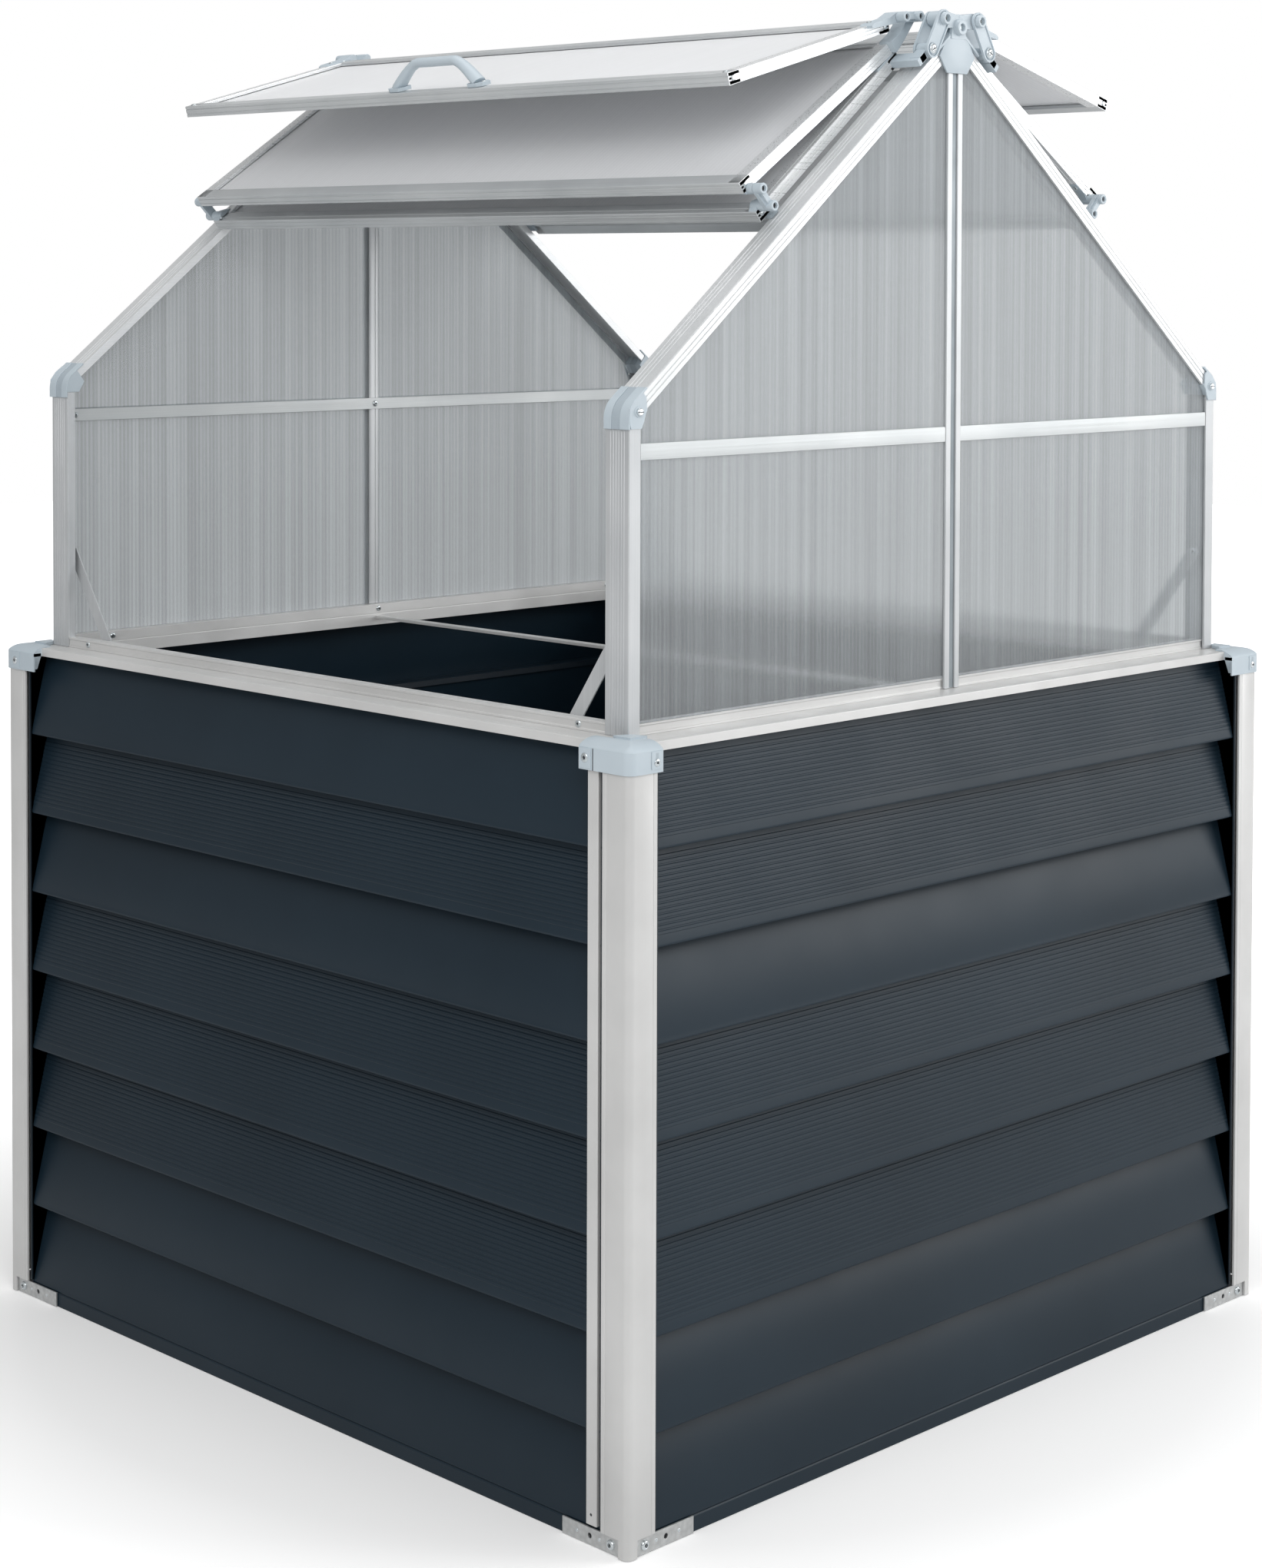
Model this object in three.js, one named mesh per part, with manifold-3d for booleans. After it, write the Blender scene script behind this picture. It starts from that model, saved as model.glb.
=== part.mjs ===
// Raised-bed cold frame with a folding greenhouse cover.
// Millimetres, +Z up, ridge along Y, gables face -Y (front) and +Y (back).
// Origin: centre of the footprint on the ground.
import * as THREE from 'three';
import { mergeVertices } from 'three/addons/utils/BufferGeometryUtils.js';
import Module from 'manifold-3d';

const wasm = await Module();
wasm.setup();

// ---------------------------------------------------------------- dimensions
const HALF = 595;             // half of the square bed, outer faces of the corner posts
const POST_LEG = 42;          // leg of the folded bed post
const POST_T = 3;
const POST_TOP = 870;
const FOOT_H = 20;            // height of the foot bracket zone
const SLATS = 8;              // lapped slats in each bed wall
const SLAT_TOP = 866;
const RAIL_H = 18;            // bottom rail of a wall
const SLAT_IN = 32;           // recess of a slat's top edge behind the post face
const SLAT_OUT = 6;           // recess of a slat's bottom edge
const SHEET = 2.6;            // slat sheet thickness
const WALL_HALF = 550.5;      // half length of a wall between its end plates
const RIM_Z = 877;            // top of the rim ledge
const RIM_OUT = 585;
const RIM_IN = 530;
const SILL_H = 13;            // raised inner band of the rim
const GX = 553;               // greenhouse outer face, X sides
const GY = 550;               // greenhouse outer face, gables
const GPOST_W = 18;           // gable face of a greenhouse post
const GPOST_D = 36;           // side face of a greenhouse post
const GPOST_TOP = 1218;
const APEX = 1674;            // outer faces of the rafters meet here
const PITCH = 38.5;           // rafter slope in degrees
const RAFTER_W = 18;          // gable face of a rafter
const RAFTER_D = 36;          // top face of a rafter
const EAVE_CUT = 20;          // rafter stops this far before the eave corner
const BAR_Z0 = 1177, BAR_Z1 = 1195.4;   // horizontal glazing bar
const PANE_Y0 = 542.7, PANE_Y1 = 546.7; // gable pane
// folding cover, in the plane across the ridge (u outward, z up)
const PANEL_T = 15;           // cover panel frame thickness
const PANEL_Y = 512;          // half length of a cover panel
const PANEL_MID = 12;         // upper panel mid plane above the rafter
const FOLD_U = 304;           // upper panel's fold pivot
const FOLD_LINK = 27;         // pivot spacing of the fold link
const LOWER_ANGLE = 146.4;    // rest direction of the lower panel
const DROP_S = 348, DROP_N = 23.2; // drop pivot on the lower panel
const DROP_LINK = 26;         // pivot spacing of the drop link
const DROP_ANGLE = -4.5;
const SIDE_ANGLE = -15.5;     // rest direction of the side panel
const UL_U = 33, UL_Z = 1685; // upper pivot of the ridge link
const LL_U = 54, LL_H = 13;   // lower pivot of the ridge link, height above the rafter
const EAR_Y0 = 538.8, EAR_Y1 = 555.4; // ears of the ridge connector, along Y
const PIVOT_R = 6.5;          // hinge barrel
const PIN_R = 3.1, BORE_R = 3.6;

const rad = d => d * Math.PI / 180;
const TAN = Math.tan(rad(PITCH)), COS = Math.cos(rad(PITCH)), SIN = Math.sin(rad(PITCH));
const dir = a => [Math.cos(rad(a)), Math.sin(rad(a))];
const add = (p, q, k = 1) => [p[0] + q[0] * k, p[1] + q[1] * k];
const above = (u, h) => [u, APEX - u * TAN + h / COS];

// ---------------------------------------------------------------- materials
const MAT = {
  silver: { color: 0xc9c9c7, roughness: 0.45, metalness: 0.35 },
  aluminium: { color: 0xd4d9dc, roughness: 0.32, metalness: 0.85 },
  anthracite: { color: 0x33485a, roughness: 0.5, metalness: 0.2 },
  plastic: { color: 0xbcc7cf, roughness: 0.5, metalness: 0.0 },
  galvanised: { color: 0xb5b7b8, roughness: 0.4, metalness: 0.8 },
  polycarbonate: { color: 0xcdd3d6, roughness: 0.35, metalness: 0.0 },
};

// ---------------------------------------------------------------- solid helpers
function toSolid(geometry) {
  const g = geometry.clone();
  g.deleteAttribute('normal');
  g.deleteAttribute('uv');
  const m = mergeVertices(g, 1e-4);
  return new wasm.Manifold(new wasm.Mesh({
    numProp: 3,
    vertProperties: new Float32Array(m.attributes.position.array),
    triVerts: new Uint32Array(m.index.array),
  }));
}
function toGeometry(solid, sx = 1, sy = 1) {
  const m = solid.getMesh();
  const pos = new Float32Array(m.vertProperties.length);
  for (let i = 0; i < pos.length; i += 3) {
    pos[i] = m.vertProperties[i] * sx;
    pos[i + 1] = m.vertProperties[i + 1] * sy;
    pos[i + 2] = m.vertProperties[i + 2];
  }
  const idx = Array.from(m.triVerts);
  if (sx * sy < 0) for (let i = 0; i < idx.length; i += 3) [idx[i], idx[i + 1]] = [idx[i + 1], idx[i]];
  const g = new THREE.BufferGeometry();
  g.setAttribute('position', new THREE.BufferAttribute(pos, 3));
  g.setIndex(idx);
  g.computeVertexNormals();
  return g;
}
const shapeOf = pts => new THREE.Shape(pts.map(p => new THREE.Vector2(p[0], p[1])));
function extrude(pts, depth) {
  return new THREE.ExtrudeGeometry(shapeOf(pts), { depth, bevelEnabled: false, steps: 1 });
}
const prismZ = (pts, z0, z1) => toSolid(extrude(pts, z1 - z0).translate(0, 0, z0));
// points are (x, z), body runs y0..y1
const prismY = (pts, y0, y1) => toSolid(extrude(pts, y1 - y0).rotateX(Math.PI / 2).translate(0, y1, 0));
// points are (y, z), body runs x0..x1
const BASIS_X = new THREE.Matrix4().makeBasis(new THREE.Vector3(0, 1, 0), new THREE.Vector3(0, 0, 1), new THREE.Vector3(1, 0, 0));
const prismX = (pts, x0, x1) => toSolid(extrude(pts, x1 - x0).applyMatrix4(BASIS_X).translate(x0, 0, 0));
const block = (x0, x1, y0, y1, z0, z1) =>
  toSolid(new THREE.BoxGeometry(x1 - x0, y1 - y0, z1 - z0).translate((x0 + x1) / 2, (y0 + y1) / 2, (z0 + z1) / 2));
// round bar along Y at (x, z)
const barY = (x, z, r, y0, y1, n = 16) =>
  toSolid(new THREE.CylinderGeometry(r, r, y1 - y0, n).translate(x, (y0 + y1) / 2, z));
const join = list => list.reduce((a, b) => a.add(b));
// oval plate between two pivots, (x, z) points
function oval(a, b, r, n = 8) {
  const ang = Math.atan2(b[1] - a[1], b[0] - a[0]);
  const pts = [];
  for (let i = 0; i <= n; i++) { const t = ang - Math.PI / 2 + Math.PI * i / n; pts.push([b[0] + r * Math.cos(t), b[1] + r * Math.sin(t)]); }
  for (let i = 0; i <= n; i++) { const t = ang + Math.PI / 2 + Math.PI * i / n; pts.push([a[0] + r * Math.cos(t), a[1] + r * Math.sin(t)]); }
  return pts;
}

const root = new THREE.Group();
function put(name, solid, mat, { sx = 1, sy = 1, parent = root } = {}) {
  const m = new THREE.Mesh(toGeometry(solid, sx, sy), new THREE.MeshStandardMaterial(MAT[mat]));
  m.name = name;
  parent.add(m);
  return m;
}
const CORNERS = [['front_left', -1, -1], ['front_right', 1, -1], ['back_left', -1, 1], ['back_right', 1, 1]];

// ---------------------------------------------------------------- raised bed
// Corner pieces are made in the (+X, +Y) quadrant; a and b run inward from the outer corner.
const A = a => HALF - a;
function roundL(leg, t, r, n = 5) {
  const pts = [];
  for (let i = 0; i <= n; i++) { const w = Math.PI / 2 * i / n; pts.push([HALF - r + r * Math.cos(w), HALF - r + r * Math.sin(w)]); }
  pts.push([A(leg), HALF], [A(leg), HALF - t]);
  const ri = r - t;
  for (let i = n; i >= 0; i--) { const w = Math.PI / 2 * i / n; pts.push([HALF - r + ri * Math.cos(w), HALF - r + ri * Math.sin(w)]); }
  pts.push([HALF - t, A(leg)], [HALF, A(leg)]);
  return pts;
}
const bedPost = join([prismZ(roundL(15, POST_T, 9), 0, FOOT_H + 1), prismZ(roundL(POST_LEG, POST_T, 9), FOOT_H, POST_TOP)]);
const footBracket = join([
  prismZ([[A(3.3), A(10)], [A(5.4), A(5.4)], [A(10), A(3.3)], [A(105), A(3.3)], [A(105), A(5.3)], [A(10.5), A(5.3)], [A(7), A(7)], [A(5.3), A(10.5)], [A(5.3), A(105)], [A(3.3), A(105)]], 0, FOOT_H - 1),
]).subtract(toSolid(new THREE.CylinderGeometry(3, 3, 8, 12).translate(A(62), A(4.3), 10)))
  .subtract(toSolid(new THREE.CylinderGeometry(3, 3, 8, 12).rotateZ(Math.PI / 2).translate(A(4.3), A(62), 10)));
for (const [tag, sx, sy] of CORNERS) {
  put('bed_post_' + tag, bedPost, 'silver', { sx, sy });
  put('foot_bracket_' + tag, footBracket, 'galvanised', { sx, sy });
}

// Corner caps: plate over the rim corner and a skirt round the post head.
function cornerCap(wingX, wingY) {
  const plate = prismZ([
    [A(-2.5), A(-2.5)], [A(wingX), A(-2.5)], [A(wingX), A(24)], [A(46), A(40)], [A(40), A(40)],
    [A(40), A(46)], [A(24), A(wingY)], [A(-2.5), A(wingY)]], RIM_Z + 0.3, RIM_Z + 4.5);
  const skirtX = block(A(wingX), A(-2.5), A(-0.4), A(-2.5), 845, RIM_Z + 4);
  const skirtY = block(A(-0.4), A(-2.5), A(wingY), A(-2.5), 845, RIM_Z + 4);
  const bossX = toSolid(new THREE.CylinderGeometry(5, 5, 2.6, 14).translate(A(wingX - 9), A(-3.4), 857));
  const bossY = toSolid(new THREE.CylinderGeometry(5, 5, 2.6, 14).rotateZ(Math.PI / 2).translate(A(-3.4), A(wingY - 9), 857));
  return join([plate, skirtX, skirtY, bossX, bossY]);
}
for (const [tag, sx, sy] of CORNERS) {
  const cap = tag === 'front_left' ? cornerCap(48, 74) : cornerCap(64, 66);
  put('corner_cap_' + tag, cap, 'plastic', { sx, sy });
}

// Bed wall: lapped slats folded from sheet, bottom rail and two end plates.
// Profile points are (outward position, height) for a wall facing +Y.
const pitch = (SLAT_TOP - RAIL_H) / SLATS;
function wallProfile() {
  const o = [[HALF - SLAT_IN, 873.4]];
  for (let i = 0; i < SLATS; i++) {
    const zb = SLAT_TOP - (i + 1) * pitch;
    o.push([HALF - SLAT_IN, SLAT_TOP - i * pitch], [HALF - SLAT_OUT, zb]);
    if (i < SLATS - 1) o.push([HALF - SLAT_IN, zb - 0.01]);
  }
  o.push([HALF - SLAT_OUT, 0], [HALF - SLAT_IN - 4, 0], [HALF - SLAT_IN - 4, RAIL_H], [HALF - SLAT_OUT - SHEET, RAIL_H + 0.6]);
  for (let i = SLATS - 1; i >= 0; i--) {
    const zt = SLAT_TOP - i * pitch;
    o.push([HALF - SLAT_IN - SHEET, zt]);
    if (i > 0) o.push([HALF - SLAT_IN - SHEET, zt + SHEET], [HALF - SLAT_OUT - SHEET, zt + SHEET]);
  }
  o.push([HALF - SLAT_IN - SHEET, 873.4]);
  return o;
}
const wallY = join([
  prismX(wallProfile(), -WALL_HALF, WALL_HALF),
  block(WALL_HALF - 2.5, WALL_HALF, HALF - SLAT_IN - 4, HALF - 5.7, 4, POST_TOP - 6),
  block(-WALL_HALF, -WALL_HALF + 2.5, HALF - SLAT_IN - 4, HALF - 5.7, 4, POST_TOP - 6),
]);
// side walls: same profile turned to face +X, with one proud slat-retaining strip
const wallX = join([
  toSolid(extrude(wallProfile(), 2 * WALL_HALF).rotateX(Math.PI / 2).translate(0, WALL_HALF, 0)),
  block(HALF - SLAT_IN - 4, HALF - 5.7, WALL_HALF - 2.5, WALL_HALF, 4, POST_TOP - 6),
  block(HALF - SLAT_IN - 4, HALF - 5.7, -WALL_HALF, -WALL_HALF + 2.5, 4, POST_TOP - 6),
  block(HALF - 34, HALF - 2.2, WALL_HALF - 25, WALL_HALF - 6, 24, 865),
]);
put('wall_back', wallY, 'anthracite');
put('wall_front', wallY, 'anthracite', { sy: -1 });
put('wall_right', wallX, 'anthracite');
put('wall_left', wallX, 'anthracite', { sx: -1, sy: -1 });

// Rim frame: ledge, outer lip, inner lip and the raised band under the greenhouse.
const ring = (o, i, z0, z1) => block(-o, o, -o, o, z0, z1).subtract(block(-i, i, -i, i, z0 - 1, z1 + 1));
put('rim_frame', join([
  ring(RIM_OUT, RIM_IN, RIM_Z - 3, RIM_Z),
  ring(RIM_OUT, RIM_OUT - 3, RIM_Z - 11, RIM_Z - 2),
  ring(RIM_IN + 3, RIM_IN, RIM_Z - 18, RIM_Z - 2),
  block(GX - 17, GX - 1, -(GY - GPOST_D) + 0.3, GY - GPOST_D - 0.3, RIM_Z - 1, RIM_Z + SILL_H),
  block(-(GX - 1), -(GX - 17), -(GY - GPOST_D) + 0.3, GY - GPOST_D - 0.3, RIM_Z - 1, RIM_Z + SILL_H),
  block(-(GX - GPOST_W) + 0.3, GX - GPOST_W - 0.3, GY - 19.5, GY - 3.5, RIM_Z - 1, RIM_Z + SILL_H),
  block(-(GX - GPOST_W) + 0.3, GX - GPOST_W - 0.3, -(GY - 3.5), -(GY - 19.5), RIM_Z - 1, RIM_Z + SILL_H),
]), 'silver');
put('tie_bar', block(-6, 6, -(RIM_IN - 0.4), RIM_IN - 0.4, RIM_Z - 8, RIM_Z - 3.4), 'silver');

// ---------------------------------------------------------------- greenhouse frame
const CORNER = [GX, APEX - GX * TAN];           // eave corner of the outer faces
const along = (s, h) => [CORNER[0] - s * COS - h * -SIN, CORNER[1] + s * SIN + h * COS]; // s up the slope, h above
const gPost = prismZ([
  [GX - GPOST_W, GY], [GX - GPOST_W, GY - 3], [GX - 3, GY - 3], [GX - 3, GY - GPOST_D + 3],
  [GX - 12, GY - GPOST_D + 3], [GX - 12, GY - GPOST_D], [GX, GY - GPOST_D], [GX, GY]], RIM_Z + 0.3, GPOST_TOP);

// rafter in its own line: x down the slope from the apex, z above the top face
const rafterLine = prismX([
  [GY - RAFTER_D, 0], [GY - RAFTER_D, -10], [GY - RAFTER_D + 3, -10], [GY - RAFTER_D + 3, -3],
  [GY - 3, -3], [GY - 3, -RAFTER_W], [GY, -RAFTER_W], [GY, 0]], -40, GX / COS - EAVE_CUT);
function tilt(solid, angleDeg, x, z) {
  // turn about Y so that +X points along angleDeg in the (u, z) plane, then move
  const g = toGeometry(solid);
  g.rotateY(-rad(angleDeg)).translate(x, 0, z);
  return toSolid(g);
}
const rafter = tilt(rafterLine, -PITCH, 0, APEX).subtract(block(-200, 0.3, 400, 700, 1500, 1800));

// eave connector: solid corner with a rounded outer face and two short skirts
function eaveProfile() {
  const p = 2.6, R = 28, pts = [];
  pts.push([GX + 0.3, 1211], [GX + p, 1211]);
  // outer lines: x = GX + p, and the rafter line raised by p
  const half = rad((90 - PITCH) / 2);             // half of the turn at the corner
  const ix = GX + p, iz = APEX - ix * TAN + p / COS;
  const d = R * Math.tan(half);
  const cz = iz - d, cx = ix - R;
  const n = 6;
  for (let i = 0; i <= n; i++) { const w = 2 * half * i / n; pts.push([cx + R * Math.cos(w), cz + R * Math.sin(w)]); }
  pts.push(along(33, p), along(33, 0.3), along(EAVE_CUT - 0.3, 0.3), along(EAVE_CUT - 0.3, -RAFTER_W),
    [GX - GPOST_W, GPOST_TOP + 0.3], [GX + 0.3, GPOST_TOP + 0.3]);
  return pts;
}
const eaveBolt = barY(GX - 12, 1230, 4.6, GY + 2, GY + 7, 12);
const eaveConnector = join([prismY(eaveProfile(), GY - GPOST_D - 1, GY + 2.6), eaveBolt]);

// brace: flat bar from the raised band to the greenhouse post
const b0 = [448, 886], b1 = [532, 1008];
const brace = prismX(oval(b0, b1, 9, 5), GX - 19.6, GX - 17.3);
for (const [tag, sx, sy] of CORNERS) {
  put('gable_post_' + tag, gPost, 'aluminium', { sx, sy });
  put('rafter_' + tag, rafter, 'aluminium', { sx, sy });
  put('eave_connector_' + tag, eaveConnector, 'plastic', { sx, sy });
  put('brace_' + tag, brace, 'aluminium', { sx, sy });
}

// gable glazing and its bars
const paneHalf = [
  [GX - 7, RIM_Z + SILL_H + 0.4], [GX - 7, 1209.5], [GX - GPOST_W - 0.8, GPOST_TOP - 2],
  add(along(EAVE_CUT + 2, -RAFTER_W - 1), [0, 0]), along(EAVE_CUT + 2, -8)];
const apexPane = [0, APEX - 8 / COS];
const paneOutline = [...paneHalf, apexPane, ...paneHalf.slice().reverse().map(p => [-p[0], p[1]])];
const gablePane = prismY(paneOutline, PANE_Y0, PANE_Y1);
const glazingBars = join([
  block(-14, 14, GY - 3, GY, RIM_Z + 0.4, 1630),
  block(-(GX - GPOST_W) + 0.5, GX - GPOST_W - 0.5, GY - 3, GY - 0.8, BAR_Z0, BAR_Z1),
]);

// ridge connector: hexagonal face plate, saddle over the rafters, ears for the ridge links
const hexPlate = prismY([[-19, 1621], [19, 1621], [33, 1641], [15, 1667], [12, 1688], [6, 1692], [-6, 1692], [-12, 1688], [-15, 1667], [-33, 1641]], GY + 0.3, GY + 5);
const saddle = prismY([[0, APEX + 0.5], [-40, APEX - 40 * TAN + 0.5], [-40, APEX - 40 * TAN + 4.5], [0, APEX + 4.8], [40, APEX - 40 * TAN + 4.5], [40, APEX - 40 * TAN + 0.5]], GY - 30, GY + 4);
const ears = join([
  prismY(oval([-UL_U, UL_Z], [UL_U, UL_Z], 9.5, 8), EAR_Y0, EAR_Y1),
  prismY([[-14, APEX + 1.5], [14, APEX + 1.5], [12, 1690], [-12, 1690]], EAR_Y0, GY + 2),
]);
const boss = barY(0, APEX - 2, 10.5, GY + 4, GY + 11, 18);
const ridgeConnector = join([hexPlate, saddle, ears, boss])
  .subtract(barY(UL_U, UL_Z, 5.4, EAR_Y0 - 3, GY + 20))
  .subtract(barY(-UL_U, UL_Z, 5.4, EAR_Y0 - 3, GY + 20))
  .subtract(barY(0, APEX - 2, 4, GY + 7, GY + 20, 6));
for (const [tag, sy] of [['front', -1], ['back', 1]]) {
  put('gable_pane_' + tag, gablePane, 'polycarbonate', { sy });
  put('glazing_bars_' + tag, glazingBars, 'aluminium', { sy });
  put('ridge_connector_' + tag, ridgeConnector, 'plastic', { sy });
}

// ---------------------------------------------------------------- folding cover
const PA = above(FOLD_U, PANEL_MID + PANEL_T / 2);      // fold pivot on the upper panel
const PB = add(PA, dir(45), FOLD_LINK);                 // fold pivot on the lower panel
const PD = add(add(PB, dir(LOWER_ANGLE), DROP_S), dir(LOWER_ANGLE - 90), DROP_N);
const PC = add(PD, dir(DROP_ANGLE), DROP_LINK);         // drop pivot on the side panel
const RU = [UL_U, UL_Z], RL = above(LL_U, LL_H);        // ridge link pivots

// panel frame with its sheet: x along the panel, z 0 is the face that carries the barrels
function panelFrame(x0, x1) {
  const w = 20;
  return join([
    block(x0, x0 + w, -PANEL_Y, PANEL_Y, -PANEL_T, 0),
    block(x1 - w, x1, -PANEL_Y, PANEL_Y, -PANEL_T, 0),
    block(x0, x1, PANEL_Y - 18, PANEL_Y, -PANEL_T, 0),
    block(x0, x1, -PANEL_Y, -PANEL_Y + 18, -PANEL_T, 0),
    block(x0 + 5, x1 - 5, -PANEL_Y + 5, PANEL_Y - 5, -10.5, -4.5),
  ]);
}
const bothEnds = make => join([make(1), make(-1)]);
const span = (s, a, b) => s > 0 ? [a, b] : [-b, -a];
const BY0 = 500, BY1 = 520.5;    // hinge barrels of the panels, along Y
const barrel = (x, z, s, r = PIVOT_R, a = BY0, b = BY1) => barY(x, z, r, ...span(s, a, b));
const bore = (x, z, s, r = BORE_R, a = BY0 - 0.5, b = BY1 + 2) => barY(x, z, r, ...span(s, a, b));

// upper panel, local origin at its fold pivot, +x down the slope
const rl = [RL[0] - PA[0], RL[1] - PA[1]];
const RLx = rl[0] * COS - rl[1] * SIN, RLz = rl[0] * SIN + rl[1] * COS;
const upperPanel = join([
  panelFrame(-303, 12),
  bothEnds(s => barrel(0, 0, s)),
  bothEnds(s => join([
    block(-303, -286, ...span(s, PANEL_Y - 12, EAR_Y1 - 0.4), -12.5, -3),
    block(RLx, -292, ...span(s, EAR_Y0, EAR_Y1 - 0.4), -12, -2.5),
    barrel(RLx, RLz, s, 7.5, EAR_Y0, EAR_Y1 - 0.4)])),
  bothEnds(s => block(-14, 0, ...span(s, 504, 519), -PANEL_T - 4.1, -PANEL_T + 1)),
]).subtract(bothEnds(s => join([bore(0, 0, s), bore(RLx, RLz, s, 4.5, 530, 570)])));
// lower panel, local origin at its fold pivot, +x towards the ridge at rest
const lowerPanel = join([
  panelFrame(-12, 320),
  bothEnds(s => barrel(0, 0, s)),
  bothEnds(s => join([
    prismY([[300, -2], [DROP_S + 4.5, -DROP_N + 5.5], [DROP_S - 2, -DROP_N - 6.2], [320, -PANEL_T - 4], [300, -PANEL_T]], ...span(s, BY0, BY1)),
    barrel(DROP_S, -DROP_N, s)])),
]).subtract(bothEnds(s => join([bore(0, 0, s), bore(DROP_S, -DROP_N, s)])));
// side panel, local origin at its drop pivot, +x away from the ridge at rest
const sidePanel = join([
  panelFrame(10, 300),
  bothEnds(s => join([
    prismY([[0, -PIVOT_R + 0.4], [0, PIVOT_R - 0.4], [26, 1.5], [26, -6]], ...span(s, BY0, BY1)),
    barrel(0, 0, s)])),
]).subtract(bothEnds(s => bore(0, 0, s)));
// bow handle on the side panel's outer face
class BowCurve extends THREE.Curve {
  getPoint(t, out = new THREE.Vector3()) {
    const y = -76 + 152 * t, k = Math.min(1, Math.sin(Math.PI * t) * 1.35);
    return out.set(283 - 4 * k, y, 4 + 30 * Math.pow(k, 0.8));
  }
}
function handleSolid() {
  const ringPts = [];
  for (let i = 0; i < 10; i++) { const w = 2 * Math.PI * i / 10; ringPts.push([6.5 * Math.cos(w), 8.5 * Math.sin(w)]); }
  const tube = new THREE.ExtrudeGeometry(shapeOf(ringPts), { steps: 22, bevelEnabled: false, extrudePath: new BowCurve() });
  return join([toSolid(tube), block(271, 295, -90, -62, 0.4, 7), block(271, 295, 62, 90, 0.4, 7)])
    .intersect(block(250, 310, -100, 100, 0.4, 60));
}
const handle = handleSolid();

// links: two solid barrels on a web, with pins reaching into the panels
function linkSolid(a, b) {
  return join([
    prismY(oval(a, b, PIVOT_R, 6), 521, 526.5),
    barY(a[0], a[1], PIVOT_R, 521, 534.5), barY(b[0], b[1], PIVOT_R, 521, 534.5),
    barY(a[0], a[1], PIN_R, 502, 522, 12), barY(b[0], b[1], PIN_R, 502, 522, 12),
  ]).subtract(barY(a[0], a[1], 2.8, 531, 536, 6)).subtract(barY(b[0], b[1], 2.8, 531, 536, 6));
}
const foldLink = linkSolid([0, 0], [FOLD_LINK, 0]);
const dropLink = linkSolid([0, 0], [DROP_LINK, 0]);
// ridge link: front and rear oval plates tied by two round spacers
const rv = [RL[0] - RU[0], RL[1] - RU[1]];
const ridgeLen = Math.hypot(rv[0], rv[1]);
const ridgeAngle = Math.atan2(rv[1], rv[0]) * 180 / Math.PI;
const ridgeLink = join([
  prismY(oval([0, 0], [ridgeLen, 0], 11, 8), EAR_Y1 + 0.4, EAR_Y1 + 4.2),
  prismY(oval([0, 0], [ridgeLen, 0], 9.5, 8), EAR_Y0 - 3.6, EAR_Y0 - 0.4),
  barY(0, 0, 5, EAR_Y0 - 2, EAR_Y1 + 9.4), barY(ridgeLen, 0, 4, EAR_Y0 - 2, EAR_Y1 + 2),
  barY(ridgeLen, 0, 6.5, EAR_Y1 + 3, EAR_Y1 + 6),
]).subtract(barY(0, 0, 2.6, EAR_Y1 + 6, EAR_Y1 + 12, 6));

for (const [side, s] of [['left', -1], ['right', 1]]) {
  // group at a pivot, turned so that local +x runs along the given direction on that side
  const at = (p, angle) => {
    const g = new THREE.Group();
    g.position.set(s * p[0], 0, p[1]);
    g.rotation.y = -s * rad(angle);
    root.add(g);
    return g;
  };
  const gr = at(RU, ridgeAngle), gf = at(PA, 45), gd = at(PD, DROP_ANGLE);
  for (const [tag, sy] of [['front', -1], ['back', 1]]) {
    put(`ridge_link_${side}_${tag}`, ridgeLink, 'plastic', { sx: s, sy, parent: gr });
    put(`fold_link_${side}_${tag}`, foldLink, 'plastic', { sx: s, sy, parent: gf });
    put(`drop_link_${side}_${tag}`, dropLink, 'plastic', { sx: s, sy, parent: gd });
  }
  put(`upper_panel_${side}`, upperPanel, 'aluminium', { sx: s, parent: at(PA, -PITCH) });
  put(`lower_panel_${side}`, lowerPanel, 'aluminium', { sx: s, parent: at(PB, LOWER_ANGLE) });
  const gc = at(PC, SIDE_ANGLE);
  put(`side_panel_${side}`, sidePanel, 'aluminium', { sx: s, parent: gc });
  put(`handle_${side}`, handle, 'plastic', { sx: s, parent: gc });
}

export default root;
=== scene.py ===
import bpy, bmesh, math
from mathutils import Vector, Matrix


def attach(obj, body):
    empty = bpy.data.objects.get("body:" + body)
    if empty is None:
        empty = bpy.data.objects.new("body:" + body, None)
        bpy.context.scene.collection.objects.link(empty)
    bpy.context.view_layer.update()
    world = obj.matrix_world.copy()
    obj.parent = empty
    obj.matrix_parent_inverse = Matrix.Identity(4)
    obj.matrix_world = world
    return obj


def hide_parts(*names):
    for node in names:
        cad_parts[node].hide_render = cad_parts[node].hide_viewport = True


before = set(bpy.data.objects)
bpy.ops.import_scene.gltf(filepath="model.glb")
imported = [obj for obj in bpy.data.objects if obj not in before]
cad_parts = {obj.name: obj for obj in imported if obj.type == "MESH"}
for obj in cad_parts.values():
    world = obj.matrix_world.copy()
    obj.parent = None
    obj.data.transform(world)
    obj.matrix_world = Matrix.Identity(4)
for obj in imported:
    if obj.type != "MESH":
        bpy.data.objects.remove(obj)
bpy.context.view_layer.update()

MM = 0.001
HALF, GX, GY, APEX, PITCH = 595.0, 553.0, 550.0, 1674.0, 38.5
SLAT_TOP, RIM_Z = 866.0, 877.0
SLATS = 8
SP = (SLAT_TOP - 18) / SLATS
rad = math.radians
TAN, COS, SIN = math.tan(rad(PITCH)), math.cos(rad(PITCH)), math.sin(rad(PITCH))


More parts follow.
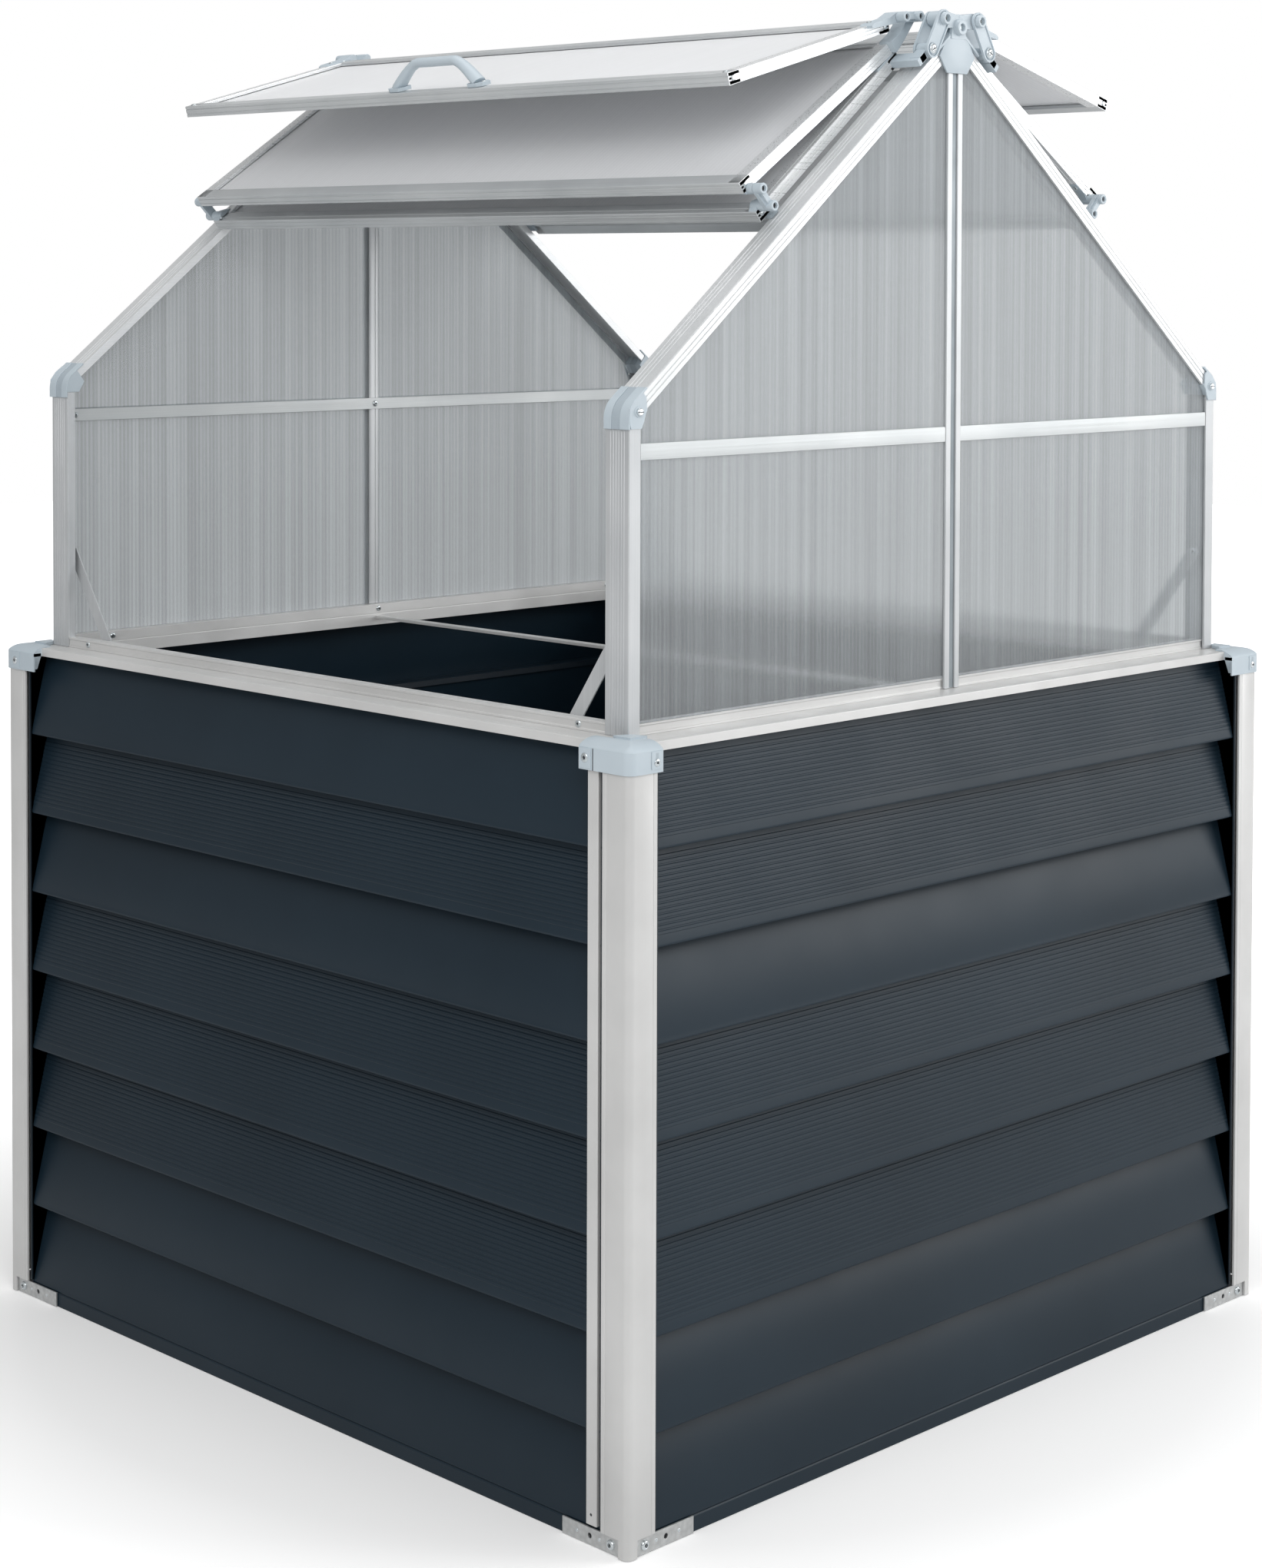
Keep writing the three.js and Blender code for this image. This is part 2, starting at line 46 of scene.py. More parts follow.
# ------------------------------------------------------------------ materials
def new_mat(name):
    m = bpy.data.materials.new(name)
    m.use_nodes = True
    nt = m.node_tree
    return m, nt, nt.nodes["Principled BSDF"]


def node(nt, kind, **kw):
    n = nt.nodes.new(kind)
    for k, v in kw.items():
        if hasattr(n, k):
            setattr(n, k, v)
        else:
            n.inputs[k].default_value = v
    return n


def coords(nt, scale, rot=(0, 0, 0)):
    tc = nt.nodes.new("ShaderNodeTexCoord")
    mp = nt.nodes.new("ShaderNodeMapping")
    mp.inputs["Scale"].default_value = scale
    mp.inputs["Rotation"].default_value = rot
    nt.links.new(tc.outputs["Object"], mp.inputs["Vector"])
    return mp.outputs["Vector"]


def noise(nt, vec, scale, detail=3.0, rough=0.5):
    n = nt.nodes.new("ShaderNodeTexNoise")
    n.inputs["Scale"].default_value = scale
    n.inputs["Detail"].default_value = detail
    n.inputs["Roughness"].default_value = rough
    nt.links.new(vec, n.inputs["Vector"])
    return n.outputs["Fac"]


def remap(nt, fac, lo, hi, a=0.35, b=0.65):
    n = nt.nodes.new("ShaderNodeMapRange")
    n.inputs["From Min"].default_value = a
    n.inputs["From Max"].default_value = b
    n.inputs["To Min"].default_value = lo
    n.inputs["To Max"].default_value = hi
    nt.links.new(fac, n.inputs["Value"])
    return n.outputs["Result"]


def ramp(nt, fac, stops):
    n = nt.nodes.new("ShaderNodeValToRGB")
    cr = n.color_ramp
    while len(cr.elements) < len(stops):
        cr.elements.new(0.5)
    for e, (p, c) in zip(cr.elements, stops):
        e.position = p
        e.color = (*c, 1)
    nt.links.new(fac, n.inputs["Fac"])
    return n.outputs["Color"]


def bump(nt, bsdf, height, strength, distance=0.0005, normal=None):
    n = nt.nodes.new("ShaderNodeBump")
    n.inputs["Strength"].default_value = strength
    n.inputs["Distance"].default_value = distance
    nt.links.new(height, n.inputs["Height"])
    if normal is not None:
        nt.links.new(normal, n.inputs["Normal"])
    nt.links.new(n.outputs["Normal"], bsdf.inputs["Normal"])
    return n.outputs["Normal"]


def coated(name, dark, light, rough, metal=0.0, grain=900, patch=5.0, streak=None, coat=0.0, bstr=0.25, rv=0.07):
    """Coated or moulded surface: soft colour patches, fine grain, uneven gloss."""
    m, nt, b = new_mat(name)
    v = coords(nt, (1, 1, 1))
    big = noise(nt, v, patch, 4.0, 0.55)
    nt.links.new(ramp(nt, big, [(0.32, dark), (0.68, light)]), b.inputs["Base Color"])
    nt.links.new(remap(nt, noise(nt, v, patch * 3.1, 3.0), rough - rv, rough + rv), b.inputs["Roughness"])
    b.inputs["Metallic"].default_value = metal
    if coat:
        b.inputs["Coat Weight"].default_value = coat
        b.inputs["Coat Roughness"].default_value = 0.2
    fine = noise(nt, v, grain, 2.0)
    if streak is not None:
        s = noise(nt, coords(nt, streak), 1.0, 2.0)
        mixn = nt.nodes.new("ShaderNodeMath")
        mixn.operation = "ADD"
        nt.links.new(fine, mixn.inputs[0])
        nt.links.new(s, mixn.inputs[1])
        fine = mixn.outputs[0]
    bump(nt, b, fine, bstr, 0.0002)
    return m


def brushed(name, dark, light, rough, metal, streak, rot=(0, 0, 0), bstr=0.3):
    """Extruded metal: long fine die lines along the bar, faint patches."""
    m, nt, b = new_mat(name)
    v = coords(nt, (1, 1, 1))
    s = coords(nt, streak, rot)
    lines = noise(nt, s, 1.0, 3.0, 0.6)
    big = noise(nt, v, 7.0, 3.0)
    mx = nt.nodes.new("ShaderNodeMath")
    mx.operation = "MULTIPLY_ADD"
    mx.inputs[1].default_value = 0.45
    nt.links.new(lines, mx.inputs[0])
    k = nt.nodes.new("ShaderNodeMath")
    k.operation = "MULTIPLY"
    k.inputs[1].default_value = 0.55
    nt.links.new(big, k.inputs[0])
    nt.links.new(k.outputs[0], mx.inputs[2])
    nt.links.new(ramp(nt, mx.outputs[0], [(0.35, dark), (0.65, light)]), b.inputs["Base Color"])
    nt.links.new(remap(nt, lines, rough - 0.08, rough + 0.08), b.inputs["Roughness"])
    b.inputs["Metallic"].default_value = metal
    bump(nt, b, lines, bstr, 0.00015)
    return m


M = {}
M["slat"] = coated("slat_paint", (0.007, 0.017, 0.027), (0.010, 0.022, 0.034), 0.42, 0.0, 1400, 3.0, None, 0.0, 0.15, 0.02)
M["slat"].node_tree.nodes["Principled BSDF"].inputs["Specular IOR Level"].default_value = 0.24
# darker copy of the slat paint: painted shade on the recessed end plates and the inner seams
M["slat_shaded"] = coated("slat_paint_painted_shade", (0.006, 0.012, 0.019), (0.009, 0.017, 0.026), 0.5, 0.0, 1400, 3.0)
M["post"] = coated("post_coating", (0.56, 0.56, 0.555), (0.64, 0.64, 0.635), 0.42, 0.15, 1500, 6.0, (420, 420, 3), 0.0, 0.2)
M["rim"] = coated("rim_coating", (0.60, 0.60, 0.595), (0.68, 0.68, 0.675), 0.36, 0.25, 1500, 6.0)
M["plastic"] = coated("moulded_plastic", (0.44, 0.51, 0.56), (0.50, 0.57, 0.62), 0.42, 0.0, 2200, 9.0)
# darker copy of the moulded plastic: painted shade on recessed, stepped and covered plastic faces
M["plastic_painted_shade"] = coated("moulded_plastic_painted_shade", (0.34, 0.40, 0.45), (0.40, 0.46, 0.50), 0.45, 0.0, 2200, 9.0)
M["alu_z"] = brushed("aluminium_upright", (0.45, 0.468, 0.482), (0.58, 0.595, 0.607), 0.40, 0.35, (700, 700, 2.5))
M["alu_y"] = brushed("aluminium_along_ridge", (0.52, 0.545, 0.56), (0.66, 0.68, 0.69), 0.38, 0.45, (700, 2.5, 700))
M["alu_x"] = brushed("aluminium_across", (0.42, 0.445, 0.455), (0.54, 0.56, 0.565), 0.42, 0.3, (2.5, 700, 700))
M["alu_sl"] = brushed("aluminium_slope_left", (0.60, 0.62, 0.63), (0.76, 0.77, 0.78), 0.38, 0.4, (2.5, 700, 700), (0, rad(PITCH), 0))
M["alu_sr"] = brushed("aluminium_slope_right", (0.60, 0.62, 0.63), (0.76, 0.77, 0.78), 0.38, 0.4, (2.5, 700, 700), (0, rad(-PITCH), 0))
M["groove"] = coated("groove_shade", (0.20, 0.23, 0.25), (0.27, 0.30, 0.32), 0.5, 0.5, 900, 6.0)
M["steel"] = coated("zinc_screw", (0.55, 0.60, 0.62), (0.72, 0.76, 0.78), 0.28, 0.9, 2500, 60.0)
M["dark"] = coated("socket_shade", (0.02, 0.022, 0.026), (0.05, 0.052, 0.058), 0.6, 0.3, 900, 40.0)


def spangle():
    m, nt, b = new_mat("galvanised_spangle")
    v = coords(nt, (1, 1, 1))
    vo = nt.nodes.new("ShaderNodeTexVoronoi")
    vo.inputs["Scale"].default_value = 160
    nt.links.new(v, vo.inputs["Vector"])
    nt.links.new(ramp(nt, vo.outputs["Distance"], [(0.0, (0.60, 0.61, 0.61)), (0.9, (0.46, 0.47, 0.47))]), b.inputs["Base Color"])
    nt.links.new(remap(nt, noise(nt, v, 90, 3.0), 0.3, 0.5), b.inputs["Roughness"])
    b.inputs["Metallic"].default_value = 0.65
    bump(nt, b, noise(nt, v, 700, 2.0), 0.3, 0.0002)
    return m


M["galv"] = spangle()


def sheet_mat(name, axis, tint, trans, rough, pitch=0.0063, lo=0.80, hi=1.0, bstr=0.12):
    """Translucent twin-wall sheet: inner webs show as soft parallel streaks."""
    m, nt, b = new_mat(name)
    v = coords(nt, (1, 1, 1))
    wv = nt.nodes.new("ShaderNodeTexWave")
    wv.wave_type = "BANDS"
    wv.bands_direction = axis
    wv.wave_profile = "SIN"
    wv.inputs["Scale"].default_value = 0.314159 / pitch
    wv.inputs["Distortion"].default_value = 0.0
    nt.links.new(v, wv.inputs["Vector"])
    # uneven strength of the webs, and long faint bands along them
    sc = {"X": (1.0 / 0.007, 0.8, 0.8), "Y": (0.8, 1.0 / 0.007, 0.8)}[axis]
    st = noise(nt, coords(nt, sc), 1.0, 2.0, 0.6)
    bands = noise(nt, coords(nt, (2.0, 2.0, 9.0)), 1.0, 3.0, 0.5)
    add = nt.nodes.new("ShaderNodeMath")
    add.operation = "MULTIPLY_ADD"
    add.inputs[1].default_value = 0.35
    nt.links.new(wv.outputs["Fac"], add.inputs[0])
    h = nt.nodes.new("ShaderNodeMath")
    h.operation = "MULTIPLY"
    h.inputs[1].default_value = 0.65
    nt.links.new(st, h.inputs[0])
    nt.links.new(h.outputs[0], add.inputs[2])
    a = tuple(c * lo for c in tint)
    z = tuple(min(1.0, c * hi) for c in tint)
    nt.links.new(ramp(nt, add.outputs[0], [(0.3, a), (0.72, z)]), b.inputs["Base Color"])
    nt.links.new(remap(nt, bands, rough - 0.02, rough + 0.02), b.inputs["Roughness"])
    b.inputs["Transmission Weight"].default_value = trans
    b.inputs["IOR"].default_value = 1.12
    b.inputs["Specular IOR Level"].default_value = 0.5
    bump(nt, b, add.outputs[0], bstr, 0.0004)
    return m


M["pane"] = sheet_mat("gable_sheet", "X", (0.90, 0.94, 0.965), 0.80, 0.24, lo=0.70, bstr=0.22)
M["cover"] = sheet_mat("cover_sheet", "Y", (0.93, 0.94, 0.955), 0.22, 0.34, lo=0.965, bstr=0.04)


# ------------------------------------------------------------------ geometry
class Build:
    """Collects closed solids, in millimetres, into one mesh."""

    def __init__(self):
        self.v, self.f, self.mi, self.mats = [], [], [], []

    def _m(self, mat):
        if mat not in self.mats:
            self.mats.append(mat)
        return self.mats.index(mat)

    def add(self, verts, faces, mat, T=None):
        o, mi = len(self.v), self._m(mat)
        self.v += [T(p) if T else p for p in verts]
        self.f += [tuple(o + i for i in f) for f in faces]
        self.mi += [mi] * len(faces)
        return self

    def prism(self, pts, axis, a, b, mat, T=None, ends=None):
        """ends, if given, maps (p, q, side) to the coordinate along the axis, for mitres."""
        def at(p, q, s):
            t = ends(p, q, s) if ends else (a, b)[s]
            return {"x": (t, p, q), "y": (p, t, q), "z": (p, q, t)}[axis]
        n = len(pts)
        vs = [at(p, q, 0) for p, q in pts] + [at(p, q, 1) for p, q in pts]
        fs = [tuple(range(n)), tuple(range(2 * n - 1, n - 1, -1))]
        fs += [(i, (i + 1) % n, n + (i + 1) % n, n + i) for i in range(n)]
        return self.add(vs, fs, mat, T)

    def box(self, x0, x1, y0, y1, z0, z1, mat, T=None):
        return self.prism([(x0, y0), (x1, y0), (x1, y1), (x0, y1)], "z", z0, z1, mat, T)

    def lathe(self, c, axis, prof, mat, n=20, T=None):
        """prof: (distance along axis, radius) from the first cap to the last; radius 0 closes on the axis."""
        e = {"x": (1, 0, 0), "y": (0, 1, 0), "z": (0, 0, 1)}.get(axis, axis)
        A = Vector(e).normalized()
        U = A.orthogonal().normalized()
        W = A.cross(U)
        vs, fs, rings = [], [], []
        for t, r in prof:
            if r == 0:
                rings.append([len(vs)])
                vs.append(tuple(Vector(c) + A * t))
            else:
                rings.append(list(range(len(vs), len(vs) + n)))
                vs += [tuple(Vector(c) + A * t + (U * math.cos(2 * math.pi * i / n) + W * math.sin(2 * math.pi * i / n)) * r) for i in range(n)]
        for p, q in zip(rings, rings[1:]):
            for i in range(n):
                j = (i + 1) % n
                if len(p) == 1 and len(q) > 1:
                    fs.append((p[0], q[i], q[j]))
                elif len(q) == 1 and len(p) > 1:
                    fs.append((p[i], q[0], p[j]))
                elif len(p) > 1:
                    fs.append((p[i], q[i], q[j], p[j]))
        if len(rings[0]) > 1:
            fs.append(tuple(rings[0]))
        if len(rings[-1]) > 1:
            fs.append(tuple(reversed(rings[-1])))
        return self.add(vs, fs, mat, T)

    def rod(self, c, axis, r, a, b, mat, n=20, ch=0.6, T=None):
        return self.lathe(c, axis, [(a, 0), (a, r - ch), (a + ch, r), (b - ch, r), (b, r - ch), (b, 0)], mat, n, T)

    def screw(self, c, d, r, mat="steel", h=2.4, T=None):
        """Pan head with a socket; c is on the surface, d points out."""
        s = r * 0.42
        self.lathe(c, d, [(-0.6, 0), (-0.6, r), (h * 0.35, r), (h * 0.75, r * 0.86), (h, r * 0.55), (h, s), (h * 0.45, s), (h * 0.45, 0)], mat, 18, T)
        self.lathe(c, d, [(h * 0.40, 0), (h * 0.40, s * 0.98), (h * 0.50, s * 0.98), (h * 0.50, 0)], "dark", 6, T)

    def make(self, name, body, replaces=(), bevel=0.5, seg=2, angle=30, smooth=38):
        me = bpy.data.meshes.new(name)
        me.from_pydata([tuple(c * MM for c in p) for p in self.v], [], self.f)
        for k in self.mats:
            me.materials.append(M[k])
        me.polygons.foreach_set("material_index", self.mi)
        bm = bmesh.new()
        bm.from_mesh(me)
        bmesh.ops.recalc_face_normals(bm, faces=bm.faces)
        bm.to_mesh(me)
        bm.free()
        me.shade_smooth()
        ob = bpy.data.objects.new(name, me)
        bpy.context.scene.collection.objects.link(ob)
        if bevel:
            b = ob.modifiers.new("edge", "BEVEL")
            b.width = bevel * MM
            b.segments = seg
            b.limit_method = "ANGLE"
            b.angle_limit = rad(angle)
            b.harden_normals = False
            b.use_clamp_overlap = True
        me.set_sharp_from_angle(angle=rad(smooth))
        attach(ob, body)
        if replaces:
            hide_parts(*replaces)
        return ob


ROOT = "bed_and_frame"
CORNERS = [("front_left", -1, -1), ("front_right", 1, -1), ("back_left", -1, 1), ("back_right", 1, 1)]


def quad(sx, sy):
    return lambda p: (sx * p[0], sy * p[1], p[2])


def arc(cx, cy, r, a0, a1, n):
    return [(cx + r * math.cos(rad(a0 + (a1 - a0) * i / n)), cy + r * math.sin(rad(a0 + (a1 - a0) * i / n))) for i in range(n + 1)]


def A(a):
    return HALF - a


# ------------------------------------------------------------------ bed posts
def post_outline(leg, r=9.0, t=3.0, lines=True):
    out = [(A(leg), A(0))]
    if lines:
        for c in (leg - 6, ):
            out += [(A(c + 0.7), A(0)), (A(c), A(-0.0) - 0.5), (A(c - 0.7), A(0))]
    pts = out + list(reversed(arc(A(r), A(r), r, 0, 90, 8)))
    if lines:
        for c in (leg - 6, ):
            pts += [(A(0), A(c - 0.7)), (A(0) - 0.5, A(c)), (A(0), A(c + 0.7))]
    pts += [(A(0), A(leg)), (A(t), A(leg))]
    pts += arc(A(r), A(r), r - t, 0, 90, 6)
    pts += [(A(leg), A(t))]
    return pts


for tag, sx, sy in CORNERS:
    T = quad(sx, sy)
    b = Build()
    b.prism(post_outline(42), "z", 20.0, 870, "post", T)
    b.prism(post_outline(15, lines=False), "z", 0, 20.3, "post", T)
    b.make("bed_post_skin_" + tag, ROOT, ["bed_post_" + tag], 0.35)
    # foot bracket with bolt, hole and pressed dimples
    b = Build()
    for swap in (False, True):
        def TT(p, T=T, swap=swap):
            return T((p[1], p[0], p[2])) if swap else T(p)
        # leg lies behind the face y = A(3.3), runs along x
        x0, x1, yo, yi, zt = A(105), A(6.5), A(3.3), A(5.3), 19.0
        hx, hr, n = A(62), 3.1, 16
        ring = [(hx + hr * math.cos(2 * math.pi * i / n), 10 + hr * math.sin(2 * math.pi * i / n)) for i in range(n)]
        sq = []
        for i in range(n):
            a = 2 * math.pi * i / n
            k = 8.5 / max(abs(math.cos(a)), abs(math.sin(a)))
            sq.append((hx + k * math.cos(a), 10 + k * math.sin(a)))
        vs = [(p[0], yo, p[1]) for p in ring] + [(p[0], yi, p[1]) for p in ring] + [(p[0], yo, p[1]) for p in sq] + [(p[0], yi, p[1]) for p in sq]
        fs = []
        for i in range(n):
            j = (i + 1) % n
            fs += [(i, j, n + j, n + i), (i, 2 * n + i, 2 * n + j, j), (n + i, n + j, 3 * n + j, 3 * n + i), (2 * n + i, 3 * n + i, 3 * n + j, 2 * n + j)]
        b.add(vs, fs, "galv", TT)
        b.box(x0, hx - 8.5, yi, yo, 0, zt, "galv", TT)
        b.box(hx + 8.5, x1, yi, yo, 0, zt, "galv", TT)
        b.box(hx - 8.5, hx + 8.5, yi, yo, 0, 1.5, "galv", TT)
        b.box(hx - 8.5, hx + 8.5, yi, yo, 18.5, zt, "galv", TT)
        b.box(hx - 5, hx + 5, yi - 0.9, yi - 0.4, 4, 16, "dark", TT)
        for dx in (A(82), A(47)):
            b.lathe((dx, yo, 10), (0, 1, 0), [(-0.5, 0), (-0.5, 2.6), (0.35, 2.0), (0.7, 0)], "steel", 14, TT)
        b.screw((A(29), yo, 10), (0, 1, 0), 5.6, "steel", 2.9, TT)
    b.prism([(A(3.3), A(12)), (A(3.6), A(6)), (A(6), A(3.6)), (A(12), A(3.3)), (A(12), A(5.3)), (A(7), A(5.6)), (A(5.6), A(7)), (A(5.3), A(12))], "z", 0, 19, "galv", T)
    b.make("foot_bracket_skin_" + tag, ROOT, ["foot_bracket_" + tag], 0.3)

# ------------------------------------------------------------------ corner caps
def corner_cap(tag, sx, sy):
    near = tag == "front_left"
    wx, wy = (48, 76) if near else ((64, 66))
    T = quad(sx, sy)
    b = Build()
    R, o = 11.0, 2.5
    # skirt: band round the post head
    ro, ri = 11.5, 9.2
    c = A(9)
    outer = [(A(wx), A(-o))] + [(x, y) for x, y in reversed(arc(c, c, 9 + o, 0, 90, 8))] + [(A(-o), A(wy))]
    inner = [(A(-0.35), A(wy))] + arc(c, c, 9.35, 0, 90, 8) + [(A(wx), A(-0.35))]
    b.prism(outer + inner, "z", 846, 870.4, "plastic", T)
    # top: rises in a hollow curve from the skirt to the foot of the greenhouse post
    inn = [(A(24), A(wy)), (A(24), A(48)), (A(40), A(44)), (A(44), A(40)), (A(48), A(24)), (A(wx), A(24))]

    def ring(t):
        r = max(0.8, 11.5 - t)
        cc = A(-o + t + r)
        return [(A(wx), A(-o + t))] + list(reversed(arc(cc, cc, r, 0, 90, 8))) + [(A(-o + t), A(wy))]
    levels = [(0.1, 866.0), (0.1, 870.3), (0.7, 871.3)]
    for k in range(1, 10):
        u = 0.085 * k
        levels.append((26.5 * u + 0.3, 871.3 + 7.9 * (1 - (1 - u) ** 2.6)))
    loops = [[(x, y, z) for x, y in ring(t) + inn] for t, z in levels]
    n = len(loops[0])
    vs = [p for lp in loops for p in lp]
    fs = [tuple(range(n)), tuple(range((len(loops) - 1) * n, len(loops) * n))]
    for k in range(len(loops) - 1):
        fs += [(k * n + i, k * n + (i + 1) % n, (k + 1) * n + (i + 1) % n, (k + 1) * n + i) for i in range(n)]
    b.add(vs, fs, "plastic", T)
    # raised pad next to the greenhouse post
    b.prism([(A(26), A(26)), (A(52), A(26)), (A(46), A(41)), (A(41), A(46)), (A(26), A(52))], "z", RIM_Z + 0.4, RIM_Z + 4.4, "plastic", T)
    # tabs with screws
    if near:
        # -Y face: slotted tab close to the wing end; -X face: separate lug
        b.box(A(46), A(30), A(-o - 0.9), A(-o + 0.3), 850, 869, "plastic", T)
        b.screw((A(38), A(-o - 0.8), 857), (0, 1, 0), 4.3, "steel", 1.4, T)
        # the slot in the tab is a thin darker plastic plate: painted shade
        b.box(A(40.2), A(35.8), A(-o - 0.95), A(-o - 0.5), 861, 867.5, "plastic_painted_shade", T)
        b.box(A(-o - 0.9), A(-o + 0.3), A(75), A(57), 848, 869.5, "plastic", T)
        b.screw((A(-o - 0.8), A(66), 859), (1, 0, 0), 5.2, "steel", 1.4, T)
        b.box(A(-o - 0.2), A(-o + 0.3), A(54.8), A(53.6), 846, 870, "dark", T)
    else:
        b.box(A(24), A(9), A(-o - 0.9), A(-o + 0.3), 850, 869, "plastic", T)
        b.screw((A(17), A(-o - 0.8), 857), (0, 1, 0), 4.3, "steel", 1.4, T)
        # the slot in the tab is a thin darker plastic plate: painted shade
        b.box(A(19.2), A(14.8), A(-o - 0.95), A(-o - 0.5), 861, 867.5, "plastic_painted_shade", T)
        b.box(A(-o - 0.6), A(-o + 0.3), A(32), A(13), 848, 869, "plastic", T)
        b.screw((A(-o - 0.5), A(22), 858), (1, 0, 0), 5.0, "steel", 1.6, T)
    # angled cheek under the wing ends
    for swap, w in ((False, wx), (True, wy)):
        if near and swap:
            continue
        def TT(p, swap=swap):
            return T((p[1], p[0], p[2])) if swap else T(p)
        b.prism([(A(w), 870.2), (A(w + 0.0), 866), (A(w - 9), 848), (A(w - 9), 870.2)], "y", A(9), A(-o + 0.05), "plastic", TT)
    b.make("corner_cap_skin_" + tag, ROOT, ["corner_cap_" + tag], 0.8, 3)


for tag, sx, sy in CORNERS:
    corner_cap(tag, sx, sy)

# ------------------------------------------------------------------ walls
RIBBED = {"front": {0, 1, 3, 4, 5}, "back": {0, 1, 3, 4, 5}, "left": {1, 3, 4, 5}, "right": {1, 3, 4, 5}}


def slat_outline(i, ribbed):
    zt, zb = SLAT_TOP - i * SP, SLAT_TOP - (i + 1) * SP
    out = []
    if i == 0:
        out.append((A(32), 873.2))
    # outer face from top to bottom, with ribs
    dx, dz = 26.0, zb - zt
    L = math.hypot(dx, dz)
    nx, nz = -dz / L, dx / L          # outward normal of the sloping face

    def P(s, h=0.0):
        return (A(32) + dx * s / L + nx * h, zt + dz * s / L + nz * h)
    out.append(P(0.2))
    if ribbed:
        s, pitch = 12.0, 5.7
        while s + pitch < L - 7:
            out += [P(s, 0), P(s + 0.8, 0.55), P(s + pitch - 2.0, 0.55), P(s + pitch - 1.2, 0)]
            s += pitch
    else:
        out += [P(9, 0), P(9.8, 0.3), P(L - 9, 0.3), P(L - 8, 0.0)]
    # rolled bottom edge
    out += [P(L - 3.0, 0)]
    cx, cz = P(L - 3.0, -3.0)
    out += [(cx + 3.0 * math.cos(rad(a)), cz + 3.0 * math.sin(rad(a))) for a in (0, -25, -50, -75, -90)]
    out = [(x, max(z, zb + 0.05)) for x, z in out]
    # underside lip back to the next slat, then up the inside
    out += [(A(34.5), zb + 0.1), (A(34.5), zb + 2.6), (A(9.5), zb + 2.6), (A(34.6), zt + 2.5)]
    if i == 0:
        out += [(A(34.6), 873.2)]
    return out


def wall(side):
    def T(p):
        # local: x along the wall, y outward
        x, y, z = p
        return {"back": (-x, y, z), "front": (x, -y, z), "right": (y, x, z), "left": (-y, -x, z)}[side]
    b = Build()
    for i in range(SLATS):
        b.prism(slat_outline(i, i in RIBBED[side]), "x", -547.8, 547.8, "slat", T)
    # bottom rail: flat strip with a light top edge
    b.prism([(A(6), 0), (A(6), 16.5), (A(7.2), 18), (A(36), 18), (A(36), 0)], "x", -547.8, 547.8, "slat", T)
    # end plates in the darker slat paint: painted shade in the recess beside the post
    for s in (-1, 1):
        x0, x1 = sorted((s * 548.0, s * 550.5))
        b.box(x0, x1, A(36), A(5.7), 0.5, 866, "slat_shaded", T)
        b.box(x0, x1, A(36), A(3.6), 22, 864, "slat_shaded", T)
    # inner stiffening seam lines, in the darker slat paint as painted shade
    for i in range(SLATS):
        zt = SLAT_TOP - i * SP
        b.box(-547, 547, A(36.2), A(34.55), zt - 6, zt + 2.4, "slat_shaded", T)
    names = ["wall_" + side]
    b.make("wall_skin_" + side, ROOT, names, 0.0, 1, 30, 25)
    if side in ("left", "right"):
        q = Build()
        # flat retaining strip with folded back edge; beside the post at one end
        prof = [(528.0, A(3.0)), (528.6, A(2.4)), (543.6, A(2.4)), (544.4, A(3.2)), (544.4, A(30)), (542.4, A(30)), (542.4, A(5)), (529.8, A(5)), (529.8, A(12)), (528.0, A(12))]
        q.prism(prof, "z", 22.5, 866, "post", T)
        q.lathe((536, A(2.6), 34), T((0, 1, 0)) if False else (0, 1, 0), [(-0.2, 0), (-0.2, 1.8), (0.25, 1.8), (0.25, 0)], "dark", 12, T)
        q.make("retaining_strip_" + side, ROOT, (), 0.3)


for w in ("front", "back", "left", "right"):
    wall(w)

# ------------------------------------------------------------------ rim and tie bar
def rim():
    b = Build()

    def T(side):
        return lambda p: {"back": (-p[0], p[1], p[2]), "front": (p[0], -p[1], p[2]), "right": (p[1], p[0], p[2]), "left": (-p[1], -p[0], p[2])}[side]
    # closed sheet profile in (outward position, z)
    prof = [(530, 860), (533, 860), (533, 874), (582, 874), (582, 866.2), (585, 866.2), (585, 876.2), (584.2, 877),
            (579, 877), (578.5, 876.5), (577.8, 876.5), (577.3, 877), (531, 877), (530, 876)]
    for side in ("front", "back", "left", "right"):
        b.prism(prof, "x", 0, 0, "rim", T(side), ends=lambda y, z, s: (-(y - 0.12) if s == 0 else (y - 0.12)))
    # raised bands: hollow-looking bar with a bead on its outer face
    for side, o0, o1, half in (("left", 536, 552, 513.5), ("right", 536, 552, 513.5), ("front", 530.6, 546.4, 534.5), ("back", 530.6, 546.4, 534.5)):
        pr = [(o0, 877.05), (o1, 877.05), (o1, 879.5), (o1 - 0.8, 880.0), (o1 - 0.8, 887.0), (o1, 887.6), (o1, 890), (o0, 890)]
        b.prism(pr, "x", -half, half, "rim", T(side))
    b.make("rim_skin", ROOT, ["rim_frame"], 0.3, 2)
    # screw heads on the bands
    q = Build()
    for sx in (-1, 1):
        for sy in (-1, 1):
            q.screw((sx * 551.2, sy * 470, 884), (sx, 0, 0), 4.2, "steel", 1.6)
            q.screw((sx * 470, sy * 530.8, 884), (0, -sy, 0), 4.2, "steel", 2.0)
        q.screw((0, sx * 530.8, 884), (0, -sx, 0), 4.2, "steel", 2.0)
    q.make("rim_screws", ROOT, (), 0.0)
    t = Build()
    t.prism([(-6, 869), (6, 869), (6, 872.8), (5.2, 873.6), (1.2, 873.6), (0.8, 873.1), (-0.8, 873.1), (-1.2, 873.6), (-5.2, 873.6), (-6, 872.8)], "y", -529.5, 529.5, "rim")
    t.make("tie_bar_skin", ROOT, ["tie_bar"], 0.2)


rim()


